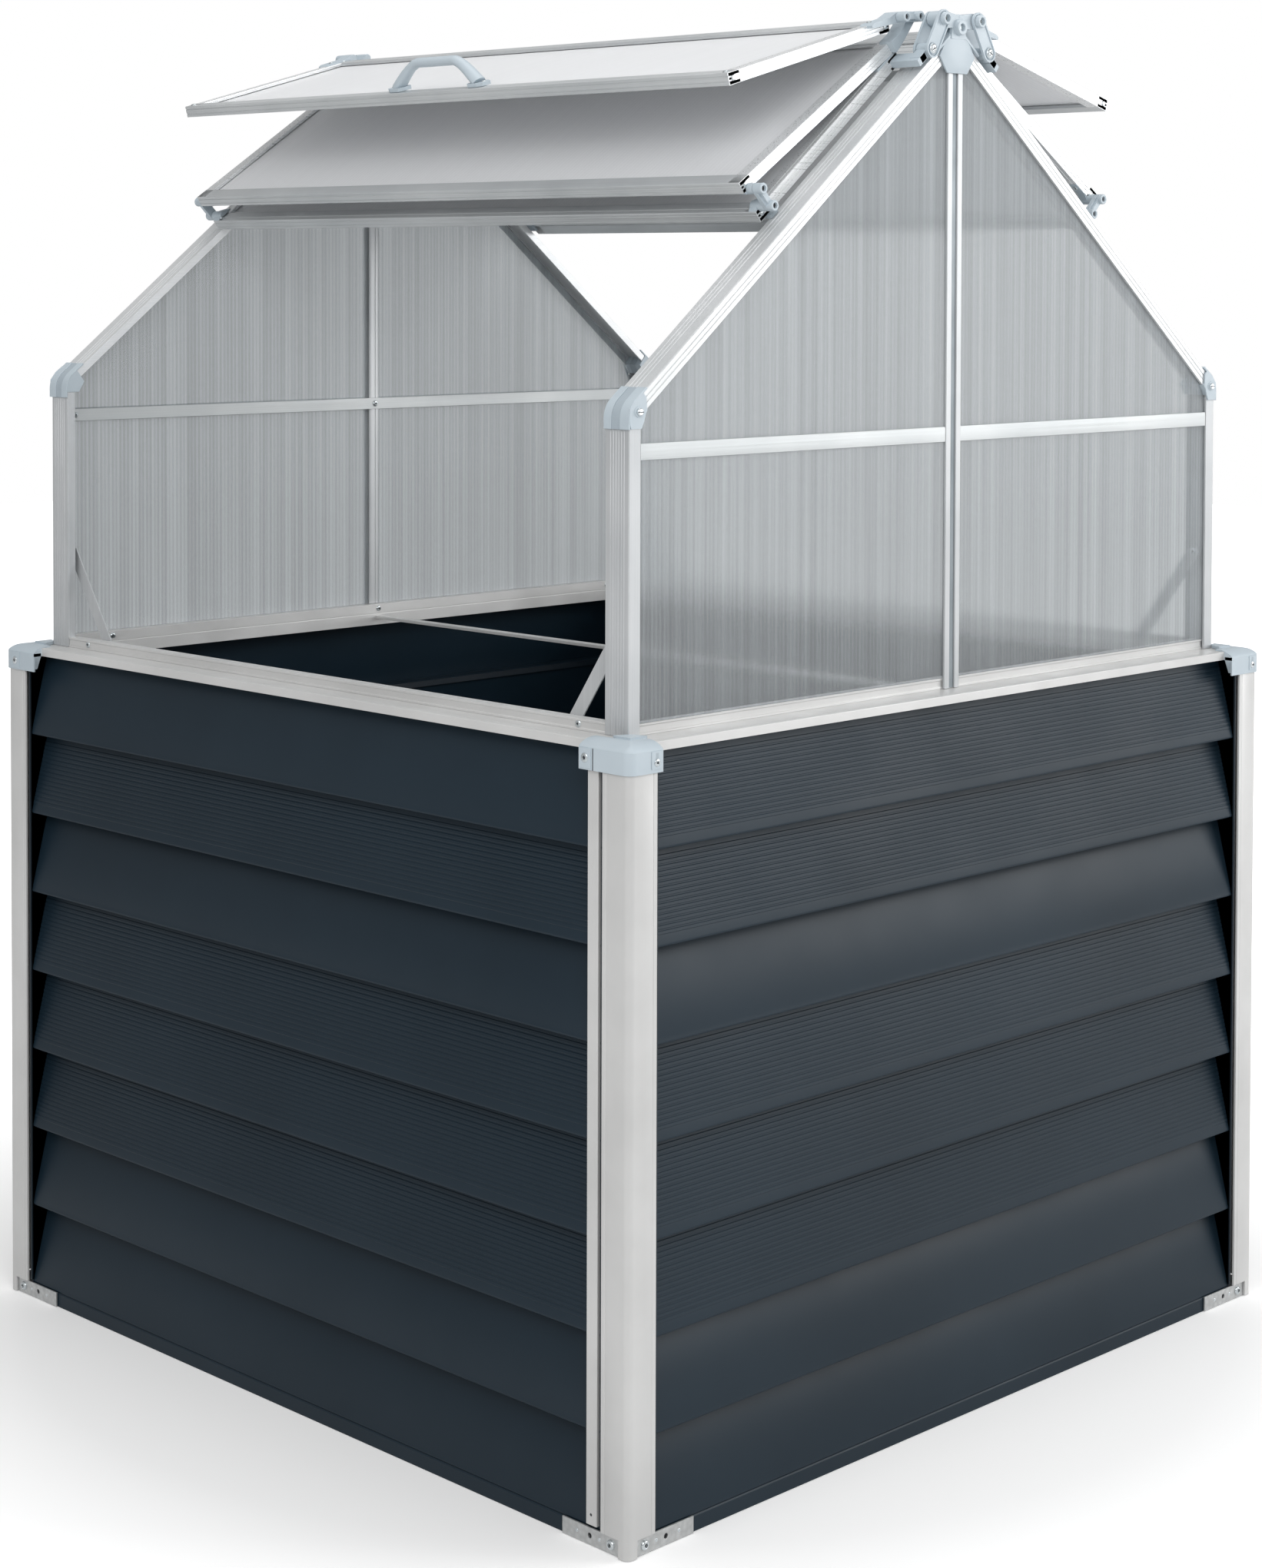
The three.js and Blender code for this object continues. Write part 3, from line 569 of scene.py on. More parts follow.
# ------------------------------------------------------------------ greenhouse frame
def gable_post(tag, sx, sy):
    T = quad(sx, sy)
    b = Build()
    # outer side face x = GX, with fine ribs towards the inner edge
    pts = [(GX - 18, GY - 0.5), (GX - 17.5, GY), (GX - 0.8, GY), (GX, GY - 0.8)]
    for k in range(6):
        y = GY - 7 - k * 4.2
        pts += [(GX, y + 0.7), (GX - 0.55, y + 0.35), (GX - 0.55, y - 0.35), (GX, y - 0.7)]
    pts += [(GX, GY - 36), (GX - 12, GY - 36), (GX - 12, GY - 33), (GX - 3, GY - 33), (GX - 3, GY - 3), (GX - 18, GY - 3)]
    b.prism(pts, "z", RIM_Z + 0.3, 1218, "alu_z", T)
    b.make("gable_post_skin_" + tag, ROOT, ["gable_post_" + tag], 0.25)


def slope_T(sx, sy):
    """x down the slope from the apex, y outward along the ridge, z above the rafter face."""
    return lambda p: (sx * (p[0] * COS + p[2] * SIN), sy * p[1], APEX - p[0] * SIN + p[2] * COS)


def rafter(tag, sx, sy):
    T = slope_T(sx, sy)
    b = Build()
    D = 36
    pts = [(GY - D, 0), (GY - D, -10), (GY - D + 3, -10), (GY - D + 3, -3), (GY - 3, -3), (GY - 3, -18), (GY, -18)]
    for k in range(2):
        z = -12 + k * 5.4
        pts += [(GY, z - 0.7), (GY - 0.6, z - 0.35), (GY - 0.6, z + 0.35), (GY, z + 0.7)]
    pts += [(GY, -0.8), (GY - 0.8, 0)]
    for y in (GY - 16, GY - 22, GY - 28):
        pts += [(y + 0.7, 0), (y + 0.35, -0.6), (y - 0.35, -0.6), (y - 0.7, 0)]
    L1 = GX / COS - 20

    def ends(y, z, s):
        return (max(0.35, 0.35 - z * TAN)) if s == 0 else L1
    b.prism(pts, "x", 0, 0, "alu_sr" if sx > 0 else "alu_sl", T, ends=ends)
    b.make("rafter_skin_" + tag, ROOT, ["rafter_" + tag], 0.25)


def along(s, h):
    zc = APEX - GX * TAN
    return (GX - s * COS + h * SIN, zc + s * SIN + h * COS)


def eave(tag, sx, sy):
    T = quad(sx, sy)
    b = Build()
    half = rad((90 - PITCH) / 2)

    def outline(p, R, z0, s1, inner=True):
        ix = GX + p
        iz = APEX - ix * TAN + p / COS
        d = R * math.tan(half)
        cx, cz = ix - R, iz - d
        n = 12
        pts = [(GX + p, z0)]
        pts += [(cx + R * math.cos(2 * half * i / n), cz + R * math.sin(2 * half * i / n)) for i in range(n + 1)]
        pts += [along(s1, p)]
        return pts
    inner = [along(33, 0.3), along(19.7, 0.3), along(19.7, -18), (GX - 18, 1218.3), (GX + 0.3, 1218.3), (GX + 0.3, 1211)]
    # shell with a raised outer band towards the gable, a step lower inside; the middle band is darker plastic as
    # painted shade
    b.prism(outline(2.6, 28, 1211, 33) + inner, "y", GY - 12, GY + 2.2, "plastic", T)
    b.prism(outline(2.0, 27, 1211, 33) + inner, "y", GY - 25, GY - 12.2, "plastic_painted_shade", T)
    b.prism(outline(2.5, 28, 1211, 33) + inner, "y", GY - 37, GY - 25.2, "plastic", T)
    # petal face on the gable side
    e = along(23.7, -24)
    petal = [(GX - 17, 1211.5), (GX - 1, 1211.5), (GX + 2.0, 1219), (GX + 1.0, 1234), (GX - 7, 1244), (GX - 18, 1252), (GX - 24, 1246), (GX - 25, 1234), (GX - 21, 1220)]
    b.prism(petal, "y", GY + 0.25, GY + 2.6, "plastic", T)
    # raised boss and slotted bolt
    b.lathe((GX - 12, GY + 2.2, 1230), "y", [(0, 0), (0, 6.4), (1.2, 6.0), (1.6, 5.2), (1.6, 0)], "plastic", 20, T)
    b.lathe((GX - 12, GY + 3.4, 1230), "y", [(0, 0), (0, 4.4), (2.4, 4.4), (3.3, 3.4), (3.3, 0)], "steel", 20, T)
    b.box(GX - 16, GX - 8, GY + 6.2, GY + 6.85, 1229.4, 1230.6, "dark", T)
    # bolt shank and nut inside the corner
    b.lathe((GX - 9, GY - 9, 1222), "y", [(-8, 0), (-8, 5.0), (-3, 5.0), (-3, 3), (4, 3), (4, 0)], "steel", 16, T)
    b.make("eave_connector_skin_" + tag, ROOT, ["eave_connector_" + tag], 0.6, 3)


def brace(tag, sx, sy):
    T = quad(sx, sy)
    b = Build()
    a0, a1 = (448, 886), (532, 1008)
    ang = math.atan2(a1[1] - a0[1], a1[0] - a0[0])
    pts = []
    for i in range(9):
        t = ang - math.pi / 2 + math.pi * i / 8
        pts.append((a1[0] + 8.8 * math.cos(t), a1[1] + 8.8 * math.sin(t)))
    for i in range(9):
        t = ang + math.pi / 2 + math.pi * i / 8
        pts.append((a0[0] + 8.8 * math.cos(t), a0[1] + 8.8 * math.sin(t)))
    b.prism(pts, "x", GX - 19.4, GX - 17.5, "alu_z", T)
    for p in (a0, a1):
        b.screw((GX - 17.5, p[0], p[1]), (1, 0, 0), 4.2, "steel", 2.2, T)
        b.screw((GX - 19.4, p[0], p[1]), (-1, 0, 0), 4.2, "steel", 2.2, T)
    b.make("brace_skin_" + tag, ROOT, ["brace_" + tag], 0.25)


for tag, sx, sy in CORNERS:
    gable_post(tag, sx, sy)
    rafter(tag, sx, sy)
    eave(tag, sx, sy)
    brace(tag, sx, sy)


# fluted sheet between two outlines: columns along x, faces on both sides
def fluted(b, xs, zlo, zhi, y0, y1, depth, mat, T, per):
    """Columns at xs; zlo(x), zhi(x) bound them; y0 and y1 are the two faces; crests every per columns."""
    n = len(xs)
    vs = []
    for k, x in enumerate(xs):
        w = depth * (0.5 - 0.5 * math.cos(2 * math.pi * k / per))
        a, c = zlo(x), zhi(x)
        vs += [(x, y0 + w, a), (x, y0 + w, c), (x, y1 - w, a), (x, y1 - w, c)]
    fs = []
    for k in range(n - 1):
        i, j = 4 * k, 4 * (k + 1)
        fs += [(i, j, j + 1, i + 1), (i + 3, j + 3, j + 2, i + 2), (i, i + 2, j + 2, j), (i + 1, j + 1, j + 3, i + 3)]
    fs += [(0, 1, 3, 2), (4 * n - 4, 4 * n - 2, 4 * n - 1, 4 * n - 3)]
    b.add(vs, fs, mat, T)


def gable(tag, sy):
    T = quad(1, sy)
    b = Build()
    zlo = lambda x: RIM_Z + 13.4

    def zhi(x):
        u = abs(x)
        roof = APEX - 8.2 / COS - u * TAN
        if u > 534:
            roof = min(roof, 1216 - (u - 534) * 0.55)
        elif u > 524:
            roof = min(roof, 1232 - (u - 524) * 1.6)
        return roof
    step = 6.4 / 6
    n = int(2 * 545.6 / step)
    xs = [-545.6 + 2 * 545.6 * i / n for i in range(n + 1)]
    fluted(b, xs, zlo, zhi, 542.9, 546.5, 0.22, "pane", T, 6)
    ob = b.make("gable_sheet_" + tag, ROOT, ["gable_pane_" + tag], 0.0)
    # outer bars
    q = Build()
    y = GY - 3
    mull = [(-14, y + 0.05), (14, y + 0.05), (14, y + 2.4), (13.4, y + 3), (5.4, y + 3), (4.8, y + 2.4), (4.8, y + 1.0), (-4.8, y + 1.0), (-4.8, y + 2.4), (-5.4, y + 3), (-13.4, y + 3), (-14, y + 2.4)]
    q.prism(mull, "z", RIM_Z + 0.5, 1630, "alu_z", T)
    q.box(-4.7, 4.7, y + 0.9, y + 1.1, RIM_Z + 1, 1629, "groove", T)
    for s in (-1, 1):
        x0, x1 = sorted((s * 14.2, s * 534.3))
        q.prism([(y + 0.05, 1177.2), (y + 2.1, 1177.2), (y + 2.1, 1193.6), (y + 1.6, 1195.2), (y + 0.05, 1195.2)], "x", x0, x1, "alu_x", T)
    q.make("outer_bars_" + tag, ROOT, ["glazing_bars_" + tag], 0.25)
    # inner strips, clamped through the sheet
    r = Build()
    yi = 542.6
    r.prism([(-9, yi), (9, yi), (9, yi - 1.2), (7.4, yi - 1.8), (3, yi - 1.8), (2.4, yi - 0.9), (-2.4, yi - 0.9), (-3, yi - 1.8), (-7.4, yi - 1.8), (-9, yi - 1.2)], "z", RIM_Z + 13.5, 1630, "alu_z", T)
    r.box(-533, 533, yi - 4.2, yi - 2.0, 1178, 1194, "alu_x", T)
    r.screw((0, yi - 4.2, 1186), (0, -1, 0), 4.4, "steel", 2.4, T)
    for s in (-1, 1):
        r.screw((s * 524, yi - 4.2, 1186), (0, -1, 0), 3.6, "steel", 2.0, T)
    r.make("inner_bars_" + tag, ROOT, (), 0.25)


gable("front", -1)
gable("back", 1)

UL = (33.0, 1685.0)


def above(u, h):
    return (u, APEX - u * TAN + h / COS)


def ridge_connector(tag, sy):
    T = quad(1, sy)
    b = Build()
    hexo = [(-19, 1621), (19, 1621), (33, 1641), (22, 1660), (15, 1668), (-15, 1668), (-22, 1660), (-33, 1641)]
    hexi = [(-12, 1628), (12, 1628), (23, 1642), (14, 1656), (9, 1661), (-9, 1661), (-14, 1656), (-23, 1642)]
    # dished face: outer ring rises to an inner field
    n = len(hexo)
    y0, y1, y2 = GY + 0.4, GY + 2.6, GY + 4.8
    vs = [(p[0], y0, p[1]) for p in hexo] + [(p[0], y1, p[1]) for p in hexo] + [(p[0], y2, p[1]) for p in hexi]
    fs = [tuple(range(n)), tuple(range(3 * n - 1, 2 * n - 1, -1))]
    for k in range(2):
        fs += [(k * n + i, k * n + (i + 1) % n, (k + 1) * n + (i + 1) % n, (k + 1) * n + i) for i in range(n)]
    b.add(vs, fs, "plastic", T)
    # neck and rounded head with the pivot boss
    head = [(-14, 1662), (14, 1662), (12.5, 1676)] + arc(0, 1679.5, 12.6, 5, 175, 12) + [(-12.5, 1676)]
    b.prism(head, "y", GY + 0.4, GY + 4.7, "plastic", T)
    b.lathe((0, GY + 4.2, 1676), "y", [(0, 0), (0, 10.2), (5.5, 9.4), (6.6, 8.6), (6.6, 5.0), (6.0, 4.4), (2.4, 4.4), (2.4, 0)], "plastic", 26, T)
    b.lathe((0, GY + 6.0, 1676), "y", [(0, 0), (0, 4.3), (1.0, 4.3), (1.0, 0)], "steel", 6, T)
    # ears carrying the ridge links
    for s in (-1, 1):
        ear = [(0, 1690.5), (s * 24, 1694.2)] + [(s * (33 + 9.3 * math.cos(rad(a))), 1685 + 9.3 * math.sin(rad(a))) for a in range(100, -101, -20)] + [(s * 20, 1674.5), (0, 1675.5)]
        b.prism(ear, "y", 539.0, 555.0, "plastic", T)
        # darker plastic disc under the ridge link: painted shade
        b.lathe((s * 33, 554.8, 1685), "y", [(0, 0), (0, 7.6), (0.5, 7.2), (0.5, 0)], "plastic_painted_shade", 20, T)
    # saddle over the rafter ends
    for s in (-1, 1):
        pr = [(0, APEX + 0.6), (s * 40, APEX - 40 * TAN + 0.6), (s * 41, APEX - 41 * TAN + 3.4), (s * 38, APEX - 38 * TAN + 4.3), (0, APEX + 4.8)]
        b.prism(pr, "y", GY - 30, GY + 3.6, "plastic", T)
    b.prism([(-14, APEX + 1.5), (14, APEX + 1.5), (12, 1690), (-12, 1690)], "y", 538.9, GY + 2, "plastic", T)
    b.make("ridge_connector_skin_" + tag, ROOT, ["ridge_connector_" + tag], 0.7, 3)


ridge_connector("front", -1)
ridge_connector("back", 1)

# ------------------------------------------------------------------ folding cover
def d(a):
    return (math.cos(rad(a)), math.sin(rad(a)))


def step(p, a, k):
    return (p[0] + d(a)[0] * k, p[1] + d(a)[1] * k)


PA = above(304, 19.5)
PB = step(PA, 45, 27)
PD = step(step(PB, 146.4, 348), 56.4, 23.2)
PC = step(PD, -4.5, 26)
RL = above(54, 13)
PY = 512.0


def local(s, p, ang):
    c, k = math.cos(rad(ang)), math.sin(rad(ang))
    return lambda q: (s * (p[0] + q[0] * c - q[2] * k), q[1], p[1] + q[0] * k + q[2] * c)


def flip(T, sy):
    return lambda q: T((q[0], sy * q[1], q[2]))


def alu_for(s, ang):
    key = f"alu_p{s}_{ang}"
    if key not in M:
        M[key] = brushed("aluminium_panel_%s_%d" % ("r" if s > 0 else "l", int(abs(ang))), (0.70, 0.72, 0.73), (0.86, 0.87, 0.88), 0.34, 0.5,
                         (2.5, 700, 700), (0, rad(s * ang), 0))
    return key


def panel(side, s, name, T, x0, x1, ang, body, deep, barrels):
    """deep: handed to the end rails as a tall-rail flag, which they ignore; both end rails are alike."""
    b = Build()
    b2 = "alu_y"
    # end rails, run along Y; profile in (x, z); the outer end face has grooves and a lip
    def rail(xo, xi, tall):
        sg = 1 if xi > xo else -1
        def X(t):
            return xo + sg * t
        pr = [(X(0.6), -15), (X(0), -14.4), (X(0), -11.6), (X(0.7), -11.2), (X(0.7), -10.4), (X(0), -10.0)]
        pr += [(X(0), -5.2), (X(0.7), -4.8), (X(0.7), -4.0), (X(0), -3.6), (X(0), -0.6), (X(0.6), 0)]
        pr += [(X(6), 0), (X(6.4), -0.6), (X(7.2), -0.6), (X(7.6), 0), (X(18.6), 0), (X(19.4), -0.8), (X(20), -4.2), (X(11), -4.2), (X(11), -10.8), (X(20), -10.8), (X(19.4), -14.2), (X(18.6), -15)]
        b.prism(pr, "y", -PY, PY, b2, T)
    rail(x0, x0 + 20, deep < 0)
    rail(x1, x1 - 20, deep > 0)
    am = alu_for(s, ang)
    for sy in (-1, 1):
        F = flip(T, sy)
        pr = [(PY, -14.4), (PY, -10.4), (PY - 0.7, -10.0), (PY - 0.7, -9.2), (PY, -8.8), (PY, -6.2), (PY - 0.7, -5.8), (PY - 0.7, -5.0), (PY, -4.6), (PY, -0.6), (PY - 0.6, 0),
              (PY - 5, 0), (PY - 5.4, -0.6), (PY - 6.2, -0.6), (PY - 6.6, 0), (PY - 17.2, 0), (PY - 18, -0.8), (PY - 18, -4.2), (PY - 9, -4.2), (PY - 9, -10.8), (PY - 18, -10.8), (PY - 18, -14.2), (PY - 17.2, -15), (PY - 0.6, -15)]
        b.prism(pr, "x", x0 + 1.2, x1 - 1.2, am, F)
        # screws through the corners
        for xx in (x0 + 8, x1 - 8):
            b.screw((xx, PY - 9, 0), (0, 0, 1), 3.8, "steel", 1.7, F)
            b.lathe((xx, PY - 0.1, -7.5), (0, 1, 0), [(-0.4, 0), (-0.4, 3.4), (0.8, 3.2), (1.2, 2.2), (1.2, 0)], "steel", 14, F)
    b.make("%s_frame_%s" % (name, side), body, ["%s_%s" % (name, side)], 0.25)
    # sheet with flutes along the panel's own slope
    q = Build()
    st = 6.4 / 4
    w = PY - 12
    n = int(2 * w / st)
    ys = [-w + 2 * w * i / n for i in range(n + 1)]
    vs, fs = [], []
    for k, y in enumerate(ys):
        e = 0.10 * (0.5 - 0.5 * math.cos(2 * math.pi * k / 4))
        vs += [(x0 + 12, y, -5.2 - e), (x1 - 12, y, -5.2 - e), (x0 + 12, y, -9.8 + e), (x1 - 12, y, -9.8 + e)]
    for k in range(n):
        i, j = 4 * k, 4 * k + 4
        fs += [(i, i + 1, j + 1, j), (i + 2, j + 2, j + 3, i + 3), (i, j, j + 2, i + 2), (i + 1, i + 3, j + 3, j + 1)]
    fs += [(0, 2, 3, 1), (4 * n, 4 * n + 1, 4 * n + 3, 4 * n + 2)]
    q.add(vs, fs, "cover", T)
    q.make("%s_sheet_%s" % (name, side), body, (), 0.0)
    # hinge arms
    h = Build()
    for sy in (-1, 1):
        F = flip(T, sy)
        barrels(h, F)
    h.make("%s_hinges_%s" % (name, side), body, (), 0.5, 2)


def pivot_end(b, c, y0, y1, r, F, mat="plastic"):
    """Round boss with a raised rim and a recessed hollow socket on its outer end."""
    b.lathe((c[0], 0, c[1]), "y", [(y0, 0), (y0, r - 0.5), (y0 + 0.6, r), (y1 - 0.7, r), (y1, r - 0.7), (y1, r * 0.56), (y1 - 2.6, r * 0.5), (y1 - 2.6, 0)], mat, 24, F)
    b.lathe((c[0], 0, c[1]), "y", [(y1 - 2.7, 0), (y1 - 2.7, r * 0.50), (y1 - 2.3, r * 0.46), (y1 - 2.3, 0)], "dark", 14, F)


def oval(a, c, r, n=10):
    ang = math.atan2(c[1] - a[1], c[0] - a[0])
    pts = []
    for i in range(n + 1):
        t = ang - math.pi / 2 + math.pi * i / n
        pts.append((c[0] + r * math.cos(t), c[1] + r * math.sin(t)))
    for i in range(n + 1):
        t = ang + math.pi / 2 + math.pi * i / n
        pts.append((a[0] + r * math.cos(t), a[1] + r * math.sin(t)))
    return pts


def boss(h, c, F, r=6.5):
    h.lathe((c[0], 0, c[1]), "y", [(500, 0), (500, r - 0.5), (500.5, r), (520, r), (520.5, r - 0.5), (520.5, 3.7), (519.5, 3.6), (519.5, 0)], "plastic", 22, F)


rl = (RL[0] - PA[0], RL[1] - PA[1])
RLx, RLz = rl[0] * COS - rl[1] * SIN, rl[0] * SIN + rl[1] * COS
RV = (RL[0] - UL[0], RL[1] - UL[1])
RLEN, RANG = math.hypot(*RV), math.degrees(math.atan2(RV[1], RV[0]))


def upper_hinges(h, F):
    boss(h, (0, 0), F)
    h.prism([(-16, 0.2), (-6, 4.6), (0, 6.2), (5, 3.4), (11, 0.2), (11, -3), (-16, -3)], "y", 500.6, 511.6, "plastic", F)
    # darker plastic block below the hinge: painted shade
    h.box(-14, -0.5, 504.3, 518.6, -19.0, -14.6, "plastic_painted_shade", F)
    # arm to the ridge link
    h.box(-302.6, -286.4, 500.5, 554.8, -12.3, -3.2, "plastic", F)
    h.box(RLx + 1, -292, 539.2, 554.8, -11.8, -2.7, "plastic", F)
    h.lathe((RLx, 0, RLz), "y", [(539.0, 4.3), (539.0, 7.3), (554.9, 7.3), (554.9, 4.3)], "plastic", 22, F)
    h.box(-302, -262, 500.2, 511.8, -3.2, 2.4, "plastic", F)
    h.screw((-270, 506, 2.4), (0, 0, 1), 3.4, "steel", 1.6, F)


def lower_hinges(h, F):
    boss(h, (0, 0), F)
    h.prism([(-10, -3), (-9, 1.8), (-4, 5.2), (2, 6.0), (12, 0.4), (34, 0.4), (36, -3)], "y", 500.6, 511.6, "plastic", F)
    h.screw((26, 506, 0.4), (0, 0, 1), 3.2, "steel", 1.5, F)
    h.prism([(298, -14.6), (300, -2.2), (322, -8), (348 + 3.5, -23.2 + 5.2), (348 - 2, -23.2 - 6.0), (330, -22.5), (316, -18.6), (298, -17.6)], "y", 500.4, 520.2, "plastic", F)
    boss(h, (348, -23.2), F)


def side_hinges(h, F):
    boss(h, (0, 0), F)
    h.prism([(-1, 6.2), (4, 5.6), (16, 2.6), (46, 2.2), (50, 0.2), (50, -3), (20, -5.6), (4, -6.0), (-1, -6.2)], "y", 500.4, 520.2, "plastic", F)
    h.screw((38, 506, 2.2), (0, 0, 1), 3.4, "steel", 1.6, F)


def link(name, side, s, p, ang, length, body, reps):
    T = local(s, p, ang)
    for e, sy in (("front", -1), ("back", 1)):
        F = flip(T, sy)
        b = Build()
        a, c = (0, 0), (length, 0)
        b.prism(oval(a, c, 6.2), "y", 521.1, 526.6, "plastic", F)
        b.prism([(2, -3.4), (length - 2, -3.4), (length - 2, 3.4), (2, 3.4)], "y", 526.4, 530, "plastic", F)
        for q in (a, c):
            pivot_end(b, q, 521.1, 534.4, 6.4, F)
            b.rod((q[0], 0, q[1]), "y", 3.0, 502, 521.5, "steel", 14, 0.4, F)
        b.make("%s_skin_%s_%s" % (name, side, e), body, ["%s_%s_%s" % (name, side, e)], 0.5, 2)


def ridge_link(side, s):
    T = local(s, UL, RANG)
    for e, sy in (("front", -1), ("back", 1)):
        F = flip(T, sy)
        b = Build()
        a, c = (0, 0), (RLEN, 0)
        b.prism(oval(a, c, 10.9, 12), "y", 555.9, 558.2, "plastic", F)
        # raised rim round the plate
        o, i = oval(a, c, 10.9, 12), oval(a, c, 8.9, 12)
        n = len(o)
        vs = [(p[0], 558.0, p[1]) for p in o] + [(p[0], 559.5, p[1]) for p in o] + [(p[0], 559.5, p[1]) for p in i] + [(p[0], 558.0, p[1]) for p in i]
        fs = []
        for k in range(4):
            fs += [(k * n + m, k * n + (m + 1) % n, ((k + 1) % 4) * n + (m + 1) % n, ((k + 1) % 4) * n + m) for m in range(n)]
        b.add(vs, fs, "plastic", F)
        b.prism(oval(a, c, 9.4, 10), "y", 535.3, 538.3, "plastic", F)
        b.rod((0, 0, 0), "y", 4.9, 538, 556.5, "plastic", 18, 0.4, F)
        b.rod((RLEN, 0, 0), "y", 3.9, 538, 556.5, "plastic", 18, 0.4, F)
        # hollow upper pivot with a steel ring, cross screw at the lower one
        b.lathe((0, 0, 0), "y", [(557.8, 0), (557.8, 8.2), (563.4, 7.8), (564.7, 7.0), (564.7, 4.6), (560.3, 4.2), (560.3, 0)], "plastic", 26, F)
        b.lathe((0, 0, 0), "y", [(560.1, 0), (560.1, 4.1), (561.3, 4.1), (561.3, 2.4), (560.5, 2.2), (560.5, 0)], "steel", 18, F)
        b.lathe((0, 0, 0), "y", [(560.4, 0), (560.4, 2.1), (560.65, 2.1), (560.65, 0)], "dark", 12, F)
        # darker plastic disc under the lower screw head: painted shade
        b.lathe((RLEN, 0, 0), "y", [(557.8, 0), (557.8, 7.4), (559.6, 7.2), (559.6, 0)], "plastic_painted_shade", 24, F)
        b.lathe((RLEN, 0, 0), "y", [(559.4, 0), (559.4, 6.2), (560.4, 5.6), (561.3, 4.0), (561.3, 0)], "steel", 22, F)
        for w in (0, 90):
            ca, sa = math.cos(rad(w + 35)), math.sin(rad(w + 35))
            pr = [(RLEN + ca * 3.4 - sa * 0.7, sa * 3.4 + ca * 0.7), (RLEN - ca * 3.4 - sa * 0.7, -sa * 3.4 + ca * 0.7), (RLEN - ca * 3.4 + sa * 0.7, -sa * 3.4 - ca * 0.7), (RLEN + ca * 3.4 + sa * 0.7, sa * 3.4 - ca * 0.7)]
            b.prism(pr, "y", 560.8, 561.38, "dark", F)
        b.make("ridge_link_skin_%s_%s" % (side, e), "ridge_link_" + side, ["ridge_link_%s_%s" % (side, e)], 0.45, 2)


def handle(side, s):
    T = local(s, PC, -15.5)
    b = Build()
    # bow: flattened oval section swept on a smooth arch, thicker feet
    n, m = 40, 16
    vs, fs = [], []
    pts = []
    for i in range(n + 1):
        t = i / n
        k = min(1.0, math.sin(math.pi * t) * 1.35)
        k = k * k * (3 - 2 * k) * 0.35 + k * 0.65
        pts.append(Vector((283 - 4 * k, -76 + 152 * t, 4.6 + 29 * (k ** 0.8))))
    for i, p in enumerate(pts):
        a, c = pts[max(0, i - 1)], pts[min(n, i + 1)]
        tg = (c - a).normalized()
        u = Vector((1, 0, 0))
        w = tg.cross(u).normalized()
        u = w.cross(tg).normalized()
        foot = max(0.0, 1 - min(i, n - i) / 7.0)
        ru, rw = 8.2 + 2.0 * foot, 6.3 + 1.2 * foot
        for j in range(m):
            an = 2 * math.pi * j / m
            q = p + u * ru * math.cos(an) + w * rw * math.sin(an)
            vs.append((q.x, q.y, max(0.5, q.z)))
    for i in range(n):
        for j in range(m):
            jj = (j + 1) % m
            fs.append((i * m + j, i * m + jj, (i + 1) * m + jj, (i + 1) * m + j))
    fs += [tuple(range(m)), tuple(range((n + 1) * m - 1, n * m - 1, -1))]
    b.add(vs, fs, "plastic", T)
    for sy in (-1, 1):
        F = flip(T, sy)
        foot = [(271.6, 66), (275, 62.6), (291, 62.6), (294.4, 66), (294.4, 82), (290, 89.4), (276, 89.4), (271.6, 82)]
        b.prism(foot, "z", 0.5, 5.2, "plastic", F)
        b.screw((283, 84.6, 5.2), (0, 0, 1), 3.2, "steel", 1.4, F)
    b.make("handle_skin_" + side, "side_panel_" + side, ["handle_" + side], 0.6, 3)


for side, s in (("left", -1), ("right", 1)):
    panel(side, s, "upper_panel", local(s, PA, -PITCH), -303, 12, -PITCH, "upper_panel_" + side, 1, upper_hinges)
    panel(side, s, "lower_panel", local(s, PB, 146.4), -12, 320, 146.4, "lower_panel_" + side, -1, lower_hinges)
    panel(side, s, "side_panel", local(s, PC, -15.5), 10, 300, -15.5, "side_panel_" + side, 1, side_hinges)
    link("fold_link", side, s, PA, 45, 27, "fold_link_" + side, ())
    link("drop_link", side, s, PD, -4.5, 26, "drop_link_" + side, ())
    ridge_link(side, s)
    handle(side, s)

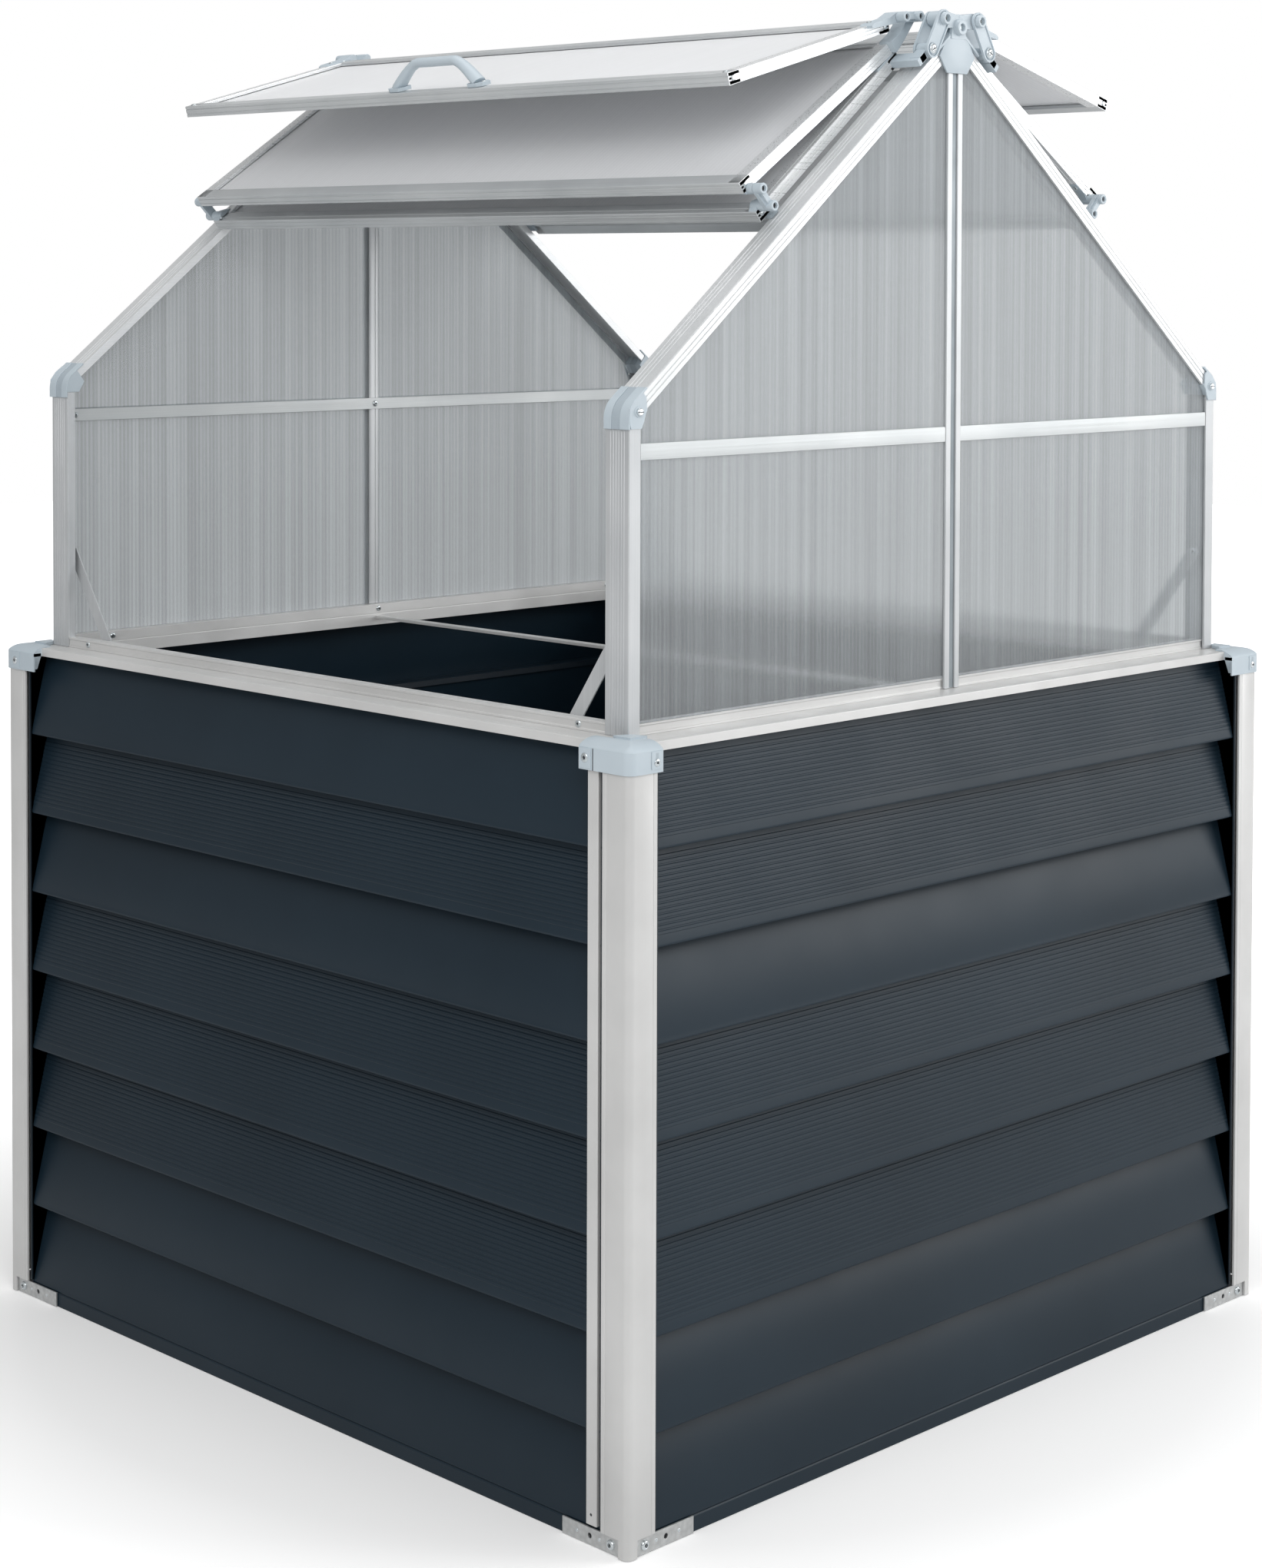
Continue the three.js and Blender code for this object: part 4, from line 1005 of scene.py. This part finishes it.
# ------------------------------------------------------------------ stage
def stage():
    me = bpy.data.meshes.new("floor")
    R = 12.0
    me.from_pydata([(-R, -R, -0.0006), (R, -R, -0.0006), (R, R, -0.0006), (-R, R, -0.0006)], [], [(0, 1, 2, 3)])
    ob = bpy.data.objects.new("floor", me)
    bpy.context.scene.collection.objects.link(ob)
    m, nt, b = new_mat("studio_floor")
    b.inputs["Base Color"].default_value = (0.92, 0.92, 0.92, 1)
    b.inputs["Roughness"].default_value = 0.9
    b.inputs["Specular IOR Level"].default_value = 0.1
    # the pale floor lifts to white away from the part, so that no horizon shows
    ge = nt.nodes.new("ShaderNodeTexCoord")
    ln = nt.nodes.new("ShaderNodeVectorMath")
    ln.operation = "LENGTH"
    nt.links.new(ge.outputs["Object"], ln.inputs[0])
    lp = nt.nodes.new("ShaderNodeLightPath")
    em = nt.nodes.new("ShaderNodeMath")
    em.operation = "MULTIPLY"
    nt.links.new(remap(nt, ln.outputs["Value"], 0.15, 1.0, 0.8, 2.2), em.inputs[0])
    nt.links.new(lp.outputs["Is Camera Ray"], em.inputs[1])
    nt.links.new(em.outputs[0], b.inputs["Emission Strength"])
    b.inputs["Emission Color"].default_value = (1, 1, 1, 1)
    me.materials.append(m)
    w = bpy.data.worlds.new("studio")
    bpy.context.scene.world = w
    w.use_nodes = True
    nt = w.node_tree
    bg = nt.nodes["Background"]
    bg.inputs["Color"].default_value = (1.0, 1.0, 1.0, 1)
    bg.inputs["Strength"].default_value = 0.42
    # the backdrop reads white, while the room itself lights the part softly
    seen = nt.nodes.new("ShaderNodeBackground")
    seen.inputs["Color"].default_value = (1.0, 1.0, 1.0, 1)
    seen.inputs["Strength"].default_value = 1.0
    lp = nt.nodes.new("ShaderNodeLightPath")
    mx = nt.nodes.new("ShaderNodeMixShader")
    nt.links.new(lp.outputs["Is Camera Ray"], mx.inputs["Fac"])
    nt.links.new(bg.outputs[0], mx.inputs[1])
    nt.links.new(seen.outputs[0], mx.inputs[2])
    nt.links.new(mx.outputs[0], nt.nodes["World Output"].inputs["Surface"])

    def area(name, loc, aim, size, power, color=(1, 1, 1)):
        li = bpy.data.lights.new(name, "AREA")
        li.shape = "RECTANGLE"
        li.size, li.size_y = size
        li.energy = power
        li.color = color
        o = bpy.data.objects.new(name, li)
        o.location = loc
        o.rotation_mode = "QUATERNION"
        o.rotation_quaternion = (Vector(aim) - Vector(loc)).to_track_quat("-Z", "Y")
        bpy.context.scene.collection.objects.link(o)
    area("sheen", (3.4, -3.6, 2.3), (0.2, -0.2, 0.8), (3.0, 3.0), 115)
    area("key", (-2.9, -3.8, 3.6), (0, 0, 0.9), (2.4, 2.4), 75)
    area("fill", (-4.4, -1.0, 3.0), (0, 0, 1.0), (2.0, 2.0), 40)
    area("top", (0, 0, 5.0), (0, 0, 1.0), (3.0, 3.0), 70)


stage()

sc = bpy.context.scene
sc.view_settings.view_transform = "Standard"
sc.view_settings.look = "None"
sc.view_settings.exposure = 0.0
sc.view_settings.gamma = 1.0

yaw, pit, roll = 0.788534091, -0.0328329403, 0.00291371282
fw = Vector((math.cos(pit) * math.cos(yaw), math.cos(pit) * math.sin(yaw), math.sin(pit)))
rt = Vector((math.sin(yaw), -math.cos(yaw), 0))
up = rt.cross(fw)
r2 = math.cos(roll) * rt + math.sin(roll) * up
u2 = -math.sin(roll) * rt + math.cos(roll) * up
cam = bpy.data.cameras.new("camera")
co = bpy.data.objects.new("camera", cam)
sc.collection.objects.link(co)
co.matrix_world = Matrix((
    (r2.x, u2.x, -fw.x, -2.77873621),
    (r2.y, u2.y, -fw.y, -2.79236232),
    (r2.z, u2.z, -fw.z, 1.38266969),
    (0, 0, 0, 1)))
cam.sensor_fit = "AUTO"
cam.sensor_width = 36.0
cam.lens = 3820.28587 * 36.0 / 2040.0
cam.shift_x = 0.0
cam.shift_y = (477.392586 - 1020.0) / 2040.0
sc.camera = co
